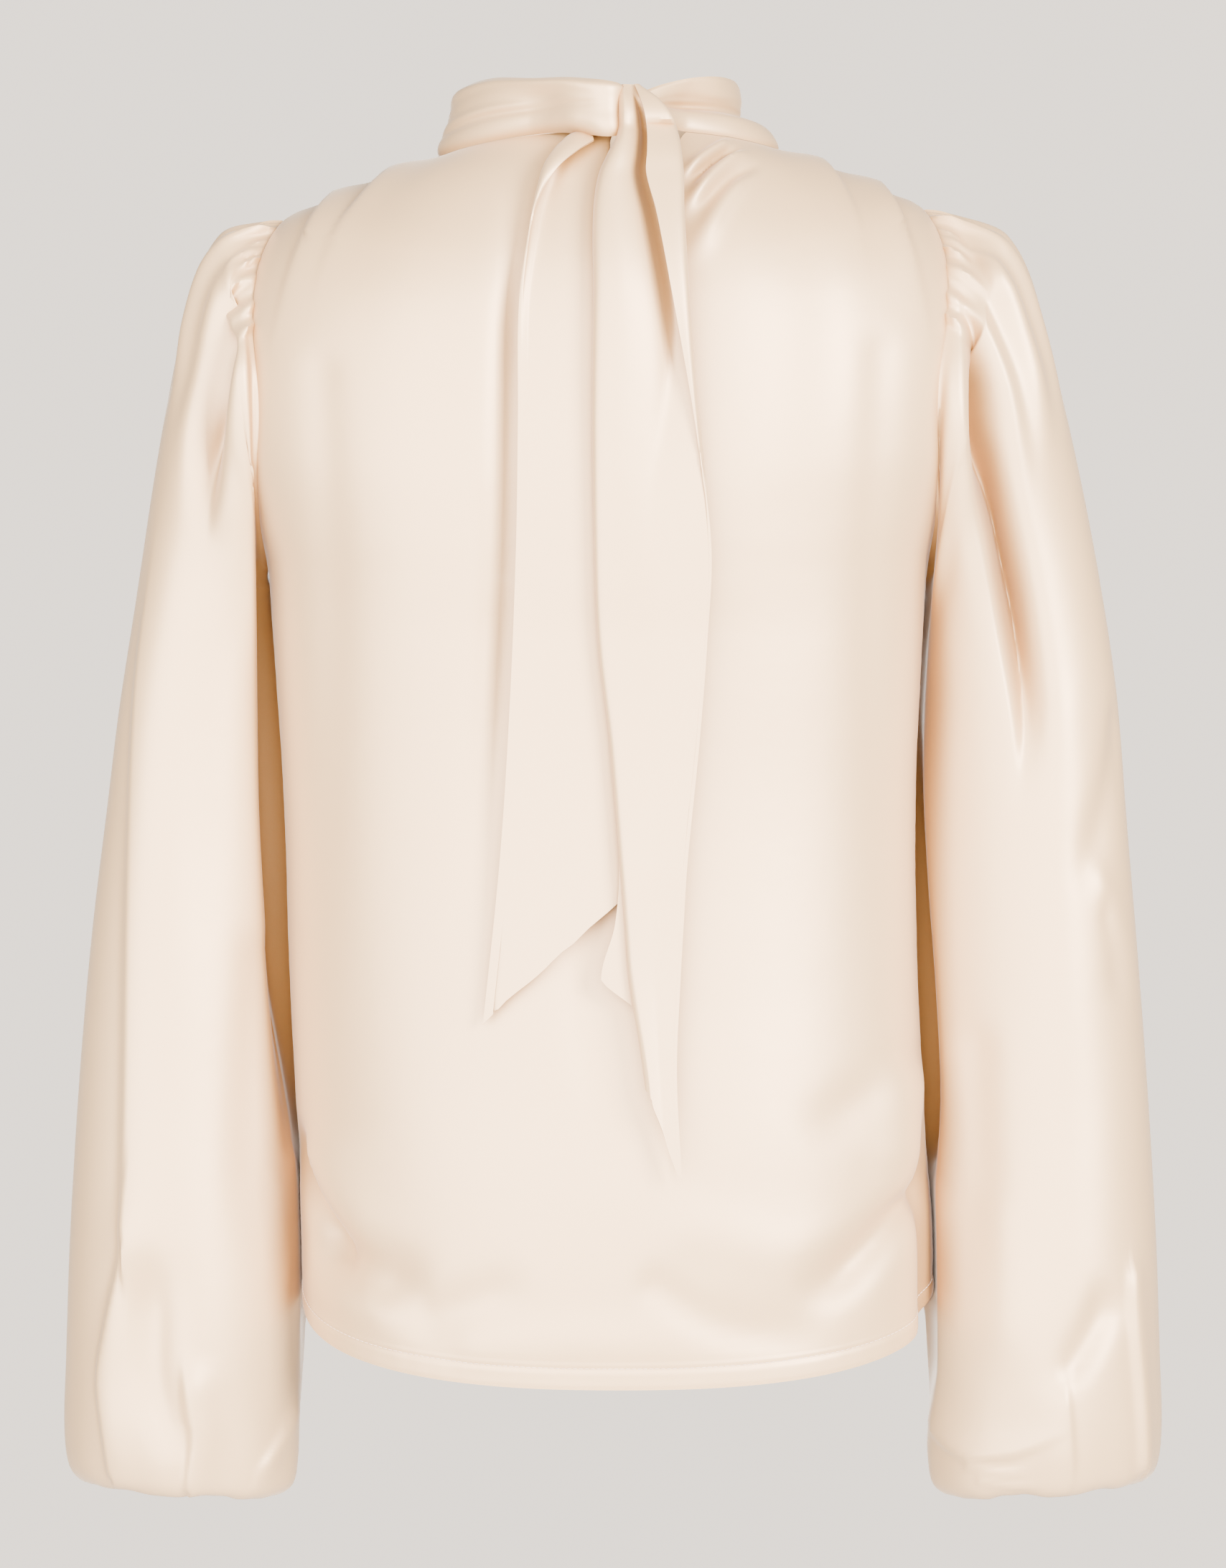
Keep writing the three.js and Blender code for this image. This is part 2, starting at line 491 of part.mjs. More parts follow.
// One row of a panel between two angles
function panelRow(sheet, from, to, columns, down) {
  const row = [];
  for (let column = 0; column <= columns; column += 1) {
    const turn = turnOfShare(mix(shareOfTurn(from), shareOfTurn(to), column / columns));
    const normal = normalOf(bodySurface, turn, down, -turnStep, downStep);
    row.push(addPoint(sheet, bodySurface(turn, down), normal, clothWall));
  }
  return row;
}

// Back panel: two halves that part at the slit and share their points below it
function buildBackPanel() {
  const sheet = newSheet();
  const downs = panelDowns();
  const right = [];
  const left = [];
  downs.forEach((down, row) => {
    const open = row < slit.row ? 1 - (row / slit.row) ** slit.curve : 0;
    const rightLip = turnAtX(mix(slit.foot, slit.right, open), down);
    const leftLip = turnAtX(mix(slit.foot, slit.left, open), down);
    const edge = edgeTurn(down, true);
    right.push(panelRow(sheet, edge, rightLip, panelColumns.right, down));
    const leftRow = panelRow(sheet, leftLip, Math.PI - edge, panelColumns.left, down);
    if (row >= slit.row) {
      leftRow[0] = right[row][panelColumns.right];
    }
    left.push(leftRow);
  });
  joinGrid(sheet, right);
  joinGrid(sheet, left);
  addSolid('back_panel', solidFrom(sheet), satin);
}

function buildFrontPanel() {
  const sheet = newSheet();
  const rows = panelDowns().map((down) => {
    const edge = edgeTurn(down, false);
    return panelRow(sheet, Math.PI + edge, 2 * Math.PI - edge, panelColumns.front, down);
  });
  joinGrid(sheet, rows);
  addSolid('front_panel', solidFrom(sheet), satin);
}

// The armhole as a closed curve. around: 0 at the shoulder tip, 90 degrees at the back
function armholePoint(side, around) {
  const behind = Math.sin(around) >= 0;
  const down = mix(shoulderTip, underarm, (1 - Math.cos(around)) / 2);
  const cut = armholeCut(down, behind) * (behind ? 1 : -1);
  return bodySurface(side > 0 ? cut : Math.PI - cut, down);
}

// Outward distance of the body's side at a depth and a height, which the sleeve keeps clear of
function bodySide(side, y, z) {
  const height = clamp(z, bodyRings[bodyRings.length - 1].side, bodyRings[3].side);
  const ring = rowAt(bodyRings, 'side', height);
  const depth = y < 0 ? ring.back : ring.front;
  const round = Math.max(0, 1 - (Math.abs(y) / depth) ** ring.square) ** (1 / ring.square);
  const cut = Math.cos(armholeCut(ring.down, true)) ** (2 / ring.square);
  const open = ease((underarmHeight - z) / 40);
  return side * ring.shift + ring.half * mix(cut, round, open);
}

// The form of a sleeve: its ring, the blend into the armhole, its fullness, gathers and folds.
// around: 0 over the arm, 90 degrees at the back, 180 under the arm
function sleeveRing(ring, around) {
  const over = (1 + Math.cos(around)) / 2;
  const depth = Math.sin(around) >= 0 ? -ring.back : ring.front;
  return new THREE.Vector3(
    mix(ring.underX, ring.overX, over),
    depth * Math.abs(Math.sin(around)) + ring.tuck * (1 - over),
    mix(ring.underZ, ring.overZ, over),
  );
}
function wrapAngle(angle) {
  return angle > Math.PI ? angle - 2 * Math.PI : angle;
}
function sleeveHeight(point, around, along) {
  const turn = wrapAngle(around);
  let height = 0;
  if (Math.abs(turn) < gathers.spread / 2 && along < gathers.fades + sleeveRings[0].along) {
    const run = (along - sleeveRings[0].along) / gathers.fades;
    const size = mix(gathers.start, 1, ease(run * 3)) * (1 - ease(run));
    const window = 1 - ease((Math.abs(turn) / (gathers.spread / 2)) * 4 - 3);
    height += gathers.rise * size * window * Math.cos((2 * Math.PI * gathers.count * turn) / gathers.spread);
  }
  if (Math.abs(turn) < sleeveFullness.spread / 2 && along < sleeveFullness.fades) {
    const grown = ease((along - sleeveRings[0].along) / (sleeveFullness.peak - sleeveRings[0].along));
    const left = 1 - ease((along - sleeveFullness.peak) / (sleeveFullness.fades - sleeveFullness.peak));
    const window = 1 - ease((Math.abs(turn) / (sleeveFullness.spread / 2)) * 3 - 2);
    const wave = Math.cos((2 * Math.PI * sleeveFullness.count * turn) / sleeveFullness.spread + 0.7);
    height += sleeveFullness.rise * grown * left * window * wave;
  }
  const facing = ease(Math.abs(Math.sin(around)) / sleeveFoldFade);
  for (const fold of sleeveFolds) {
    if (fold.face * Math.sin(around) > 0) {
      height += foldHeight(fold, point.x, point.z) * facing;
    }
  }
  return height;
}
function sleeveForm(side, around, along) {
  const ring = rowAt(sleeveRings, 'along', along);
  const point = sleeveRing(ring, around);
  const join = 1 - ease((along - sleeveRings[0].along) / armholeBlend);
  const spread = side * upperArm.spread * bell(along - upperArm.at, upperArm.wide);
  const draw = side > 0 ? innerDraw.depth * bell(along - innerDraw.at, innerDraw.wide) : 0;
  point.x += (spread * (1 + Math.cos(around)) - draw * (1 - Math.cos(around))) / 2;
  if (join > 0) {
    const armhole = armholePoint(side, around);
    const first = sleeveRing(sleeveRings[0], around);
    point.x += (armhole.x * side + sleeveSeamRoom - first.x) * join;
    point.y += (armhole.y - first.y) * join;
    point.z += (armhole.z - first.z) * join;
  }
  const room = mix(sleeveSeamRoom, sleeveClearance, ease((along - sleeveRings[0].along) / armholeBlend));
  const limit = bodySide(side, point.y, point.z) + room + clothWall;
  const soft = 2.5 * ease((along - sleeveRings[0].along) / armholeBlend) + 0.05;
  if (along < 660) {
    point.x = limit + soft * Math.log(1 + Math.exp(clamp((point.x - limit) / soft, -40, 40)))
      + Math.max(0, point.x - limit - 40 * soft);
  }
  return point;
}
function sleeveSurface(side, around, along) {
  const form = (turn, reach) => sleeveForm(side, turn, reach);
  const point = sleeveForm(side, around, along);
  const start = Math.max(along, sleeveRings[0].along + downStep);
  const normal = normalOf(form, around, start, turnStep, downStep);
  return point.addScaledVector(normal, sleeveHeight(point, around, along));
}

function buildSleeve(name, side) {
  const sheet = newSheet();
  const fine = [];
  for (let column = 0; column <= gatherColumns; column += 1) {
    fine.push(mix(-gathers.spread / 2, gathers.spread / 2, column / gatherColumns));
  }
  for (let column = 1; column < plainColumns; column += 1) {
    fine.push(mix(gathers.spread / 2, 2 * Math.PI - gathers.spread / 2, column / plainColumns));
  }
  const coarse = [];
  for (let column = 0; column < lowerColumns; column += 1) {
    coarse.push(-gathers.spread / 2 + (2 * Math.PI * column) / lowerColumns);
  }
  const surface = (around, along) => {
    const point = sleeveSurface(side, around, along);
    return point.setX(point.x * side);
  };
  let before = null;
  for (const along of sleeveStops) {
    const places = along <= headAlong ? fine : coarse;
    const row = places.map((around) => {
      const turn = around < 0 ? around + 2 * Math.PI : around;
      const start = Math.max(along, sleeveRings[0].along + downStep);
      const normal = normalOf(surface, turn, start, turnStep, downStep).multiplyScalar(side);
      return addPoint(sheet, surface(turn, along), normal, clothWall);
    });
    row.push(row[0]);
    const closed = [...places, places[0] + 2 * Math.PI];
    if (before) {
      joinRows(sheet, before.row, row, before.closed, closed);
    }
    before = { row, closed };
  }
  addSolid(name, solidFrom(sheet), satin);
}

// A cuff hangs from the gathered end of its sleeve, inside the blousing
function buildCuff(name, side) {
  const sheet = newSheet();
  const end = sleeveRings[sleeveRings.length - 1];
  const wide = (end.overX - end.underX) / 2 - seamGap;
  const deep = end.back - seamGap;
  const rows = [cuff.top, cuff.top - cuff.height / 2, cuff.top - cuff.height].map((z) => {
    const row = [];
    for (let column = 0; column < cuff.columns; column += 1) {
      const around = (2 * Math.PI * column) / cuff.columns;
      const normal = new THREE.Vector3(Math.cos(around), Math.sin(around), 0);
      const point = new THREE.Vector3(side * cuff.x + wide * normal.x, cuff.y + deep * normal.y, z);
      row.push(addPoint(sheet, point, normal, doubleWall));
    }
    row.push(row[0]);
    return row;
  });
  joinGrid(sheet, rows);
  addSolid(name, solidFrom(sheet), bandSatin);
}

// Neckband: sewn along the neckline between its free ends, on a smooth curve through the stations
function neckPoint(turn) {
  const around = (((turn % 360) + 360) % 360) * degree;
  return bodySurface(around, 0).add(new THREE.Vector3(0, 0, bandRoom));
}
const bandTable = bandStations.map((station, index) => {
  const lower = station.x === undefined ? neckPoint(station.turn) : new THREE.Vector3(station.x, station.y, station.z);
  return { ...station, place: index, x: lower.x, y: lower.y, z: lower.z };
});
const firstSewn = bandStations.findIndex((station) => station.x === undefined);
const lastSewn = bandStations.length - 1 - [...bandStations].reverse().findIndex((station) => station.x === undefined);
function bandEdge(place, height) {
  const row = rowAt(bandTable, 'place', place);
  const sewn = place >= firstSewn && place <= lastSewn;
  const lower = sewn ? neckPoint(row.turn) : new THREE.Vector3(row.x, row.y, row.z);
  return lower.lerp(new THREE.Vector3(row.topX, row.topY, row.topZ), height);
}
function bandForm(place, height) {
  const run = bandEdge(place + 0.2, height).sub(bandEdge(place - 0.2, height));
  const out = new THREE.Vector3(run.y, -run.x, 0).normalize();
  const row = rowAt(bandTable, 'place', place);
  const stand = row.crease * bell(height - bandCrease.at, bandCrease.wide) * ease(height * 6);
  return bandEdge(place, height).addScaledVector(out, stand);
}
function buildNeckband() {
  const sheet = newSheet();
  const stops = (bandStations.length - 1) * bandSteps;
  const rows = [];
  for (let stop = 0; stop <= stops; stop += 1) {
    const place = stop / bandSteps;
    rows.push(bandHeights.map((height) => {
      const normal = normalOf(bandForm, clamp(place, 0.1, bandStations.length - 1.1), height, 0.08, 0.04);
      return addPoint(sheet, bandForm(place, height), normal, doubleWall);
    }));
  }
  joinGrid(sheet, rows);
  addSolid('neckband', solidFrom(sheet), bandSatin);
}

function buildKnot() {
  const ball = new THREE.SphereGeometry(1, 14, 8);
  const source = ball.getAttribute('position');
  const points = [];
  const found = new Map();
  const merged = [];
  for (let index = 0; index < source.count; index += 1) {
    const point = new THREE.Vector3().fromBufferAttribute(source, index);
    const key = point.toArray().map((value) => value.toFixed(4)).join(' ').replaceAll('-0.0000', '0.0000');
    if (!found.has(key)) {
      found.set(key, points.length);
      points.push(new THREE.Vector3(
        knot.x + knot.wide * point.x,
        knot.y + knot.deep * point.z,
        knot.z + knot.tall * point.y,
      ));
    }
    merged.push(found.get(key));
  }
  const order = ball.getIndex();
  const faces = [];
  for (let index = 0; index < order.count; index += 3) {
    const [a, b, c] = [0, 1, 2].map((corner) => merged[order.getX(index + corner)]);
    if (a !== b && b !== c && a !== c) {
      faces.push([a, c, b]);
    }
  }
  addSolid('tie_knot', { points, faces }, bandSatin);
}

// Depth of the back panel at a place seen from behind; above the neckline it stays at the neckline's
const neckDepth = -63;
const neckHeight = 7;
function backDepth(x, z) {
  if (z >= neckHeight) {
    return neckDepth;
  }
  let down = clamp(-z, 0, hemDown);
  let turn = turnAtX(x, down);
  for (let step = 0; step < 12; step += 1) {
    const point = bodyForm(turn, down);
    down = clamp(down + (point.z - z) * 0.8, 0, hemDown);
    turn = turnAtX(x, down);
  }
  return bodySurface(turn, down).y;
}

// Across a tie: the places of its cloth as x and distance off the panel
function overSection(row) {
  const layer = 2 * foldRound;
  const front = row.out + 2 * layer;
  const turned = ease((row.edge + 3 - row.lip) / 12);
  const half = mix(row.roll, row.valley, 0.42);
  const outer = mix(row.valley, row.edge, 0.55);
  const fold = front + row.crown * 0.5 + foldRound * turned;
  return [
    [row.rear, row.out],
    [mix(row.rear, row.bend, 0.5), row.out],
    [row.bend - 1.5, row.out],
    [row.bend, row.out + foldRound],
    [row.bend - 1.5, row.out + layer],
    [mix(row.bend, row.roll, 0.5), row.out + layer],
    [row.roll + 1.7, row.out + layer],
    [row.roll, row.out + layer + foldRound + row.crown * 0.3],
    [row.roll + 1.9, front + row.crown * 0.85],
    [half, front + row.crown],
    [row.valley, front],
    [outer, front + row.crown * 0.12],
    [mix(mix(row.edge, row.lip, 0.3), row.edge - 1.5, turned), front + row.crown * 0.3],
    [mix(mix(row.edge, row.lip, 0.6), row.edge, turned), fold],
    [mix(mix(row.edge, row.lip, 0.8), row.edge - 1.8, turned), mix(fold, front + row.crown + layer * 0.6, turned)],
    [row.lip, mix(fold, front + row.crown + layer * 0.5, turned)],
  ];
}
function underSection(row) {
  const layer = 2 * foldRound;
  const seat = row.seat;
  const curl = row.curl;
  const middle = mix(row.left, row.right, 0.55);
  return [
    [row.left + 5 * curl, row.lift - 5.2 * curl],
    [row.left + 1.5 * (1 - curl), row.lift - 3 * curl],
    [row.left + 3 * mix(1, 0.6, curl), row.lift - 0.6 * curl],
    [row.left + 7, row.lift],
    [mix(row.left + 7, middle, 0.5), mix(row.lift, seat + layer, 0.35)],
    [middle, mix(row.lift, seat + layer, 0.8)],
    [row.right - 1.5, seat + layer],
    [row.right, seat + foldRound],
    [row.right - 1.5, seat],
    [mix(row.right, row.under, 0.5), seat],
    [row.under, seat],
  ];
}
function sectionLengths(section) {
  const lengths = [0];
  for (let index = 1; index < section.length; index += 1) {
    const [ax, ad] = section[index - 1];
    const [bx, bd] = section[index];
    lengths.push(lengths[index - 1] + Math.hypot(bx - ax, bd - ad));
  }
  return lengths.map((length) => length / lengths[lengths.length - 1]);
}

// A tie: each column of its cloth runs from the top row down to the biased end
function buildTie(name, table, sectionOf, startZ, endZ) {
  const sheet = newSheet();
  const top = table[0].z;
  const reference = sectionLengths(sectionOf(rowAt(table, 'z', -300)));
  const columnEnds = reference.map((share) => mix(startZ, endZ, share));
  const place = (column, z) => {
    const section = sectionOf(rowAt(table, 'z', z));
    const [x, out] = section[clamp(column, 0, section.length - 1)];
    return new THREE.Vector3(x, backDepth(x, z) - out, z);
  };
  const rows = [];
  for (let row = 0; row <= tieRows; row += 1) {
    const share = (row / tieRows) ** 1.5;
    rows.push(columnEnds.map((end, column) => {
      const z = mix(top, end, share);
      const before = place(column - 1, z);
      const after = place(column + 1, z);
      const direction = after.sub(before).normalize();
      const normal = new THREE.Vector3(direction.y, -direction.x, 0);
      const centre = place(column, z);
      return addPoint(sheet, centre.addScaledVector(normal, doubleWall / 2), normal, doubleWall);
    }));
  }
  joinGrid(sheet, rows);
  addSolid(name, solidFrom(sheet), tieSatin);
}

buildBackPanel();
buildFrontPanel();
buildSleeve('sleeve_left', -1);
buildSleeve('sleeve_right', 1);
buildCuff('cuff_left', -1);
buildCuff('cuff_right', 1);
buildNeckband();
buildKnot();
buildTie('tie_tail_front', overTie, overSection, overCut.shortZ, overCut.longZ);
buildTie('tie_tail_back', underTie, underSection, underCut.longZ, underCut.shortZ);

export default blouse;
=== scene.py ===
"""Looks of a satin blouse seen from behind, tied at the back of the neck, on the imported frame.

Sizes are in millimetres, as in the part's source, and become metres when a mesh is made. +X is to the right
seen from behind, +Z is up, and the back of the blouse faces -Y.
"""

import logging
import math
from collections.abc import Callable
from dataclasses import dataclass
from enum import Enum

import bpy
import numpy as np
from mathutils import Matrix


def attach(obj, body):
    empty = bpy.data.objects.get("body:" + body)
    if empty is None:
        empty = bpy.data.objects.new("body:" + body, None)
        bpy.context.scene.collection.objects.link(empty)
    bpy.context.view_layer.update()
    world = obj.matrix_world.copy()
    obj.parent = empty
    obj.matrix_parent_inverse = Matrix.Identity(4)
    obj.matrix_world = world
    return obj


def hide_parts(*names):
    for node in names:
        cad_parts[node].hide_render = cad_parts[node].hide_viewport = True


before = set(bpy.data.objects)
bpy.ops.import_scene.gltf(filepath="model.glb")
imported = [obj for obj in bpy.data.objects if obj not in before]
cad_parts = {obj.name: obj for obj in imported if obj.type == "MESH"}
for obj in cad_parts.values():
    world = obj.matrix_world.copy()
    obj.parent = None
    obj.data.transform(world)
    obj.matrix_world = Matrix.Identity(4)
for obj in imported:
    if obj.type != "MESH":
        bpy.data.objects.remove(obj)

log = logging.getLogger("blouse")
MILLIMETRE = 0.001
DEGREE = math.pi / 180
SHOULDER_TIP = 92.0
UNDERARM = 275.0
UNDERARM_HEIGHT = -213.0
HEM_DOWN = 662.0
BODY_MIDDLE = np.array([0.0, 0.0, -300.0])
SIDE_SEAM_GAP = 0.02

NodeValues = dict[str, float | tuple[float, ...]]


class Side(Enum):
    """Side of the blouse, seen from behind."""

    LEFT = -1
    RIGHT = 1


def ease(share: np.ndarray) -> np.ndarray:
    """A smooth rise from 0 to 1 as share goes from 0 to 1."""
    held = np.clip(share, 0.0, 1.0)
    return held * held * (3 - 2 * held)


def bell(distance: np.ndarray, wide: np.ndarray) -> np.ndarray:
    """A smooth hill, 1 in the middle and nearly gone at two widths."""
    return np.exp(-((distance / wide) ** 2))


def signed_power(value: np.ndarray, power: np.ndarray) -> np.ndarray:
    """A power that keeps the sign of its value."""
    return np.sign(value) * np.abs(value) ** power


def mix(first: np.ndarray, second: np.ndarray, share: np.ndarray) -> np.ndarray:
    """The value between two others at a share."""
    return first + (second - first) * share


def unit(vectors: np.ndarray) -> np.ndarray:
    """Vectors at length one."""
    return vectors / np.maximum(np.linalg.norm(vectors, axis=-1, keepdims=True), 1e-9)


def curve_between(
    start: np.ndarray, end: np.ndarray, enter: np.ndarray, leave: np.ndarray, share: np.ndarray
) -> np.ndarray:
    """A smooth curve from one value to another.

    Args:
        start: value at its start.
        end: value at its end.
        enter: slope at its start, over its whole length.
        leave: slope at its end, over its whole length.
        share: share of the way.

    Returns:
        The value at each share.
    """
    square = share * share
    cube = square * share
    return (
        start * (2 * cube - 3 * square + 1)
        + enter * (cube - 2 * square + share)
        + end * (3 * square - 2 * cube)
        + leave * (cube - square)
    )


@dataclass(frozen=True)
class SizeTable:
    """Rows of sizes under named columns, read at any place on a smooth curve through the rows.

    The first column is the one that places are counted on.
    """

    columns: tuple[str, ...]
    rows: tuple[tuple[float, ...], ...]

    def at(self, place: np.ndarray) -> dict[str, np.ndarray]:
        """Reads every column.

        Args:
            place: places on the first column.

        Returns:
            The value of each column at each place.
        """
        values = np.array(self.rows, dtype=float)
        sign = 1.0 if values[-1, 0] > values[0, 0] else -1.0
        keys = values[:, 0] * sign
        spot = np.asarray(place, dtype=float) * sign
        start = np.clip(np.searchsorted(keys, spot, side="right") - 1, 0, len(keys) - 2)
        before = np.maximum(start - 1, 0)
        end = start + 1
        after = np.minimum(start + 2, len(keys) - 1)
        span = keys[end] - keys[start]
        share = np.clip((spot - keys[start]) / span, 0.0, 1.0)
        read = {}
        for index, name in enumerate(self.columns):
            column = values[:, index]
            enter = (column[end] - column[before]) / (keys[end] - keys[before]) * span
            leave = (column[after] - column[start]) / (keys[after] - keys[start]) * span
            read[name] = curve_between(column[start], column[end], enter, leave, share)
        return read


@dataclass(frozen=True)
class Fold:
    """A trough or ridge along a path of points (x, z) seen from behind.

    rise is its height, negative for a trough; wide and late_wide are its half width at its two ends;
    beyond is the half width on the right of its way, where that differs; start and stop are its share of
    full height at the two ends; swell_over and fade_over are the shares of its length in which it rises to
    full height and sinks from it.
    """

    path: tuple[tuple[float, float], ...]
    rise: float
    wide: float
    late_wide: float = 0.0
    beyond: float = 0.0
    start: float = 1.0
    stop: float = 0.0
    swell_over: float = 0.3
    fade_over: float = 0.45

    def height(self, x: np.ndarray, z: np.ndarray) -> np.ndarray:
        """Height of the fold.

        Args:
            x: places across.
            z: heights.

        Returns:
            The rise of the cloth at each place, in millimetres.
        """
        path = self.smooth_path()
        steps = np.hypot(*(path[1:] - path[:-1]).T)
        reach = np.concatenate([[0.0], np.cumsum(steps)])
        nearest = np.full(x.shape, np.inf)
        passed = np.zeros(x.shape)
        side = np.zeros(x.shape)
        for index in range(len(path) - 1):
            run = path[index + 1] - path[index]
            from_x = x - path[index, 0]
            from_z = z - path[index, 1]
            share = np.clip((from_x * run[0] + from_z * run[1]) / (run @ run), 0, 1)
            away_x = from_x - share * run[0]
            away_z = from_z - share * run[1]
            distance = np.hypot(away_x, away_z)
            closer = distance < nearest
            nearest = np.where(closer, distance, nearest)
            passed = np.where(closer, (reach[index] + share * steps[index]) / reach[-1], passed)
            side = np.where(closer, run[1] * away_x - run[0] * away_z, side)
        wide = mix(self.wide, self.late_wide or self.wide, passed)
        if self.beyond:
            wide = np.where(side > 0, self.beyond, wide)
        swell = ease(np.minimum(passed / self.swell_over + self.start, 1.0))
        fade = ease(np.minimum((1 - passed) / self.fade_over + self.stop, 1.0))
        return self.rise * bell(nearest, wide) * (swell * fade)

    def smooth_path(self) -> np.ndarray:
        """The fold's path with a smooth curve through its points.

        Returns:
            Points along the path.
        """
        rows = tuple((float(index), *point) for index, point in enumerate(self.path))
        places = np.linspace(0, len(rows) - 1, 4 * (len(rows) - 1) + 1)
        read = SizeTable(("place", "x", "z"), rows).at(places)
        return np.stack([read["x"], read["z"]], axis=1)


@dataclass(frozen=True)
class Pleat:
    """A pleat let into a shoulder seam.

    x is its place on the seam; swing is how far it runs outwards over its reach down the cloth; rise is its
    height; inner and outer are the half widths of its two slopes.
    """

    side: Side
    x: float
    swing: float
    reach: float
    rise: float
    inner: float
    outer: float


BODY_RINGS = SizeTable(
    ("down", "half", "back", "front", "side", "rear", "fore", "shift", "square", "lift"),
    (
        (0, 90, 63, 62, 0, 7, -40, -2, 2.0, 1.7),
        (30, 117, 78, 82, -8, -14, -60, -3, 2.1, 1.5),
        (60, 144, 89, 96, -18, -37, -79, -4, 2.2, 1.3),
        (92, 169, 97, 106, -29, -62, -98, -5, 2.3, 1.2),
        (120, 187, 101, 113, -54, -88, -120, -6, 2.4, 1.2),
        (160, 199, 103, 121, -94, -126, -152, -7, 2.4, 1.2),
        (210, 196, 103, 127, -146, -170, -190, -8, 2.4, 1.2),
        (250, 183, 101, 127, -187, -205, -220, -8, 2.4, 1.2),
        (275, 175, 99, 125, -213, -228, -240, -8, 2.4, 1.2),
        (310, 172, 96, 121, -249, -260, -269, -8, 2.4, 1.2),
        (400, 167, 93, 115, -340, -346, -350, -7, 2.4, 1.2),
        (490, 166, 97, 111, -431, -434, -436, -5, 2.4, 1.1),
        (570, 166, 105, 110, -509, -520, -518, -1, 2.4, 0.9),
        (620, 167, 106, 109, -557, -583, -579, 2, 2.4, 0.8),
        (662, 167, 103, 107, -598, -642, -636, 3, 2.4, 0.75),
    ),
)

SHOULDER_PLEATS = (
    Pleat(Side.LEFT, 114, 40, 96, 4.6, 17, 2.2),
    Pleat(Side.LEFT, 147, 30, 112, 4.6, 15, 2.2),
    Pleat(Side.RIGHT, 108, 22, 92, 4.0, 17, 2.6),
    Pleat(Side.RIGHT, 140, 25, 108, 4.8, 16, 2.2),
)

BACK_FOLDS = (
    Fold(((166, -540), (150, -555), (131, -573), (113, -586), (84, -597)), -9, 7, 14, start=0.4),
    Fold(((150, -470), (155, -502), (150, -534)), 6, 16, 15, start=0.2, stop=0.5),
    Fold(((158, -478), (140, -486), (119, -501), (92, -520)), -2.6, 9, 16),
    Fold(((-161, -505), (-155, -536), (-144, -562), (-135, -584)), 4, 24, 20,
         beyond=2.6, start=0.0, stop=0.3),
    Fold(((-150, -566), (-136, -578), (-112, -588), (-88, -594)), -6, 8, 17),
    Fold(((-150, -592), (-128, -604), (-96, -613)), 2.5, 9, 14),
    Fold(((-92, -604), (-64, -596), (-38, -584)), -2.4, 11, 13),
    Fold(((22, -590), (50, -607), (84, -613), (120, -611)), -2.8, 9, 12),
    Fold(((40, -560), (92, -574), (132, -560)), 2.0, 16, 20),
    Fold(((-16, -380), (-12, -450), (-2, -500), (0, -548)), -4, 16, 20),
    Fold(((62, 3), (54, -2), (45, -9), (36, -17)), 3.8, 2.4, 3, start=0.2, stop=0.2),
    Fold(((72, -2), (60, -9), (49, -20), (38, -35)), 4.4, 2.6, 4, start=0.1, stop=0.2),
    Fold(((76, -12), (64, -23), (52, -40), (40, -68)), 3.0, 3.6, 7, start=0.1),
    Fold(((68, -1), (57, -6), (46, -15), (36, -26)), -3.0, 2.2, 3, start=0.1, stop=0.2),
    Fold(((78, -8), (62, -18), (50, -31), (38, -50)), -2.8, 2.8, 5, start=0.1),
    Fold(((-36, -14), (-44, -44), (-49, -85), (-51, -145), (-52, -210), (-56, -295), (-62, -372),
          (-70, -440)), -8, 11, 13, start=0.2),
    Fold(((80, -20), (92, -90), (90, -180), (96, -300)), -1.4, 16, 28),
    Fold(((112, -30), (116, -110), (112, -200)), 1.2, 16, 24),
    Fold(((-104, -60), (-112, -170), (-106, -330)), 1.2, 22, 32),
    Fold(((-150, -120), (-146, -250), (-152, -400), (-146, -500)), -1.4, 10, 16),
    Fold(((138, -110), (134, -230), (140, -380), (132, -470)), -1.4, 10, 16),
    Fold(((-70, -620), (0, -618), (70, -622)), 1.6, 12, 12),
)
FRONT_FOLDS = (
    Fold(((150, -530), (124, -562), (92, -590), (8, -594)), -5.5, 12, 16),
    Fold(((-152, -524), (-128, -560), (-100, -586), (-14, -596)), -5.5, 10, 15),
    Fold(((78, -190), (70, -330), (82, -470)), 4, 20, 24),
    Fold(((-76, -190), (-86, -320), (-70, -480)), 4, 22, 26),
    Fold(((4, -150), (-6, -300), (6, -440)), -3.5, 20, 26),
    Fold(((-60, -58), (-40, -80), (-14, -92)), -2.2, 6, 12),
    Fold(((58, -58), (40, -82), (10, -96)), -2.2, 6, 12),
    Fold(((140, -120), (134, -240), (138, -400)), -2.6, 12, 18),
    Fold(((-146, -120), (-142, -250), (-148, -400)), -2.6, 12, 18),
    Fold(((-90, -604), (-40, -612), (30, -606)), -2.4, 10, 12),
    Fold(((120, -586), (70, -606), (30, -604)), 2.2, 12, 14),
)


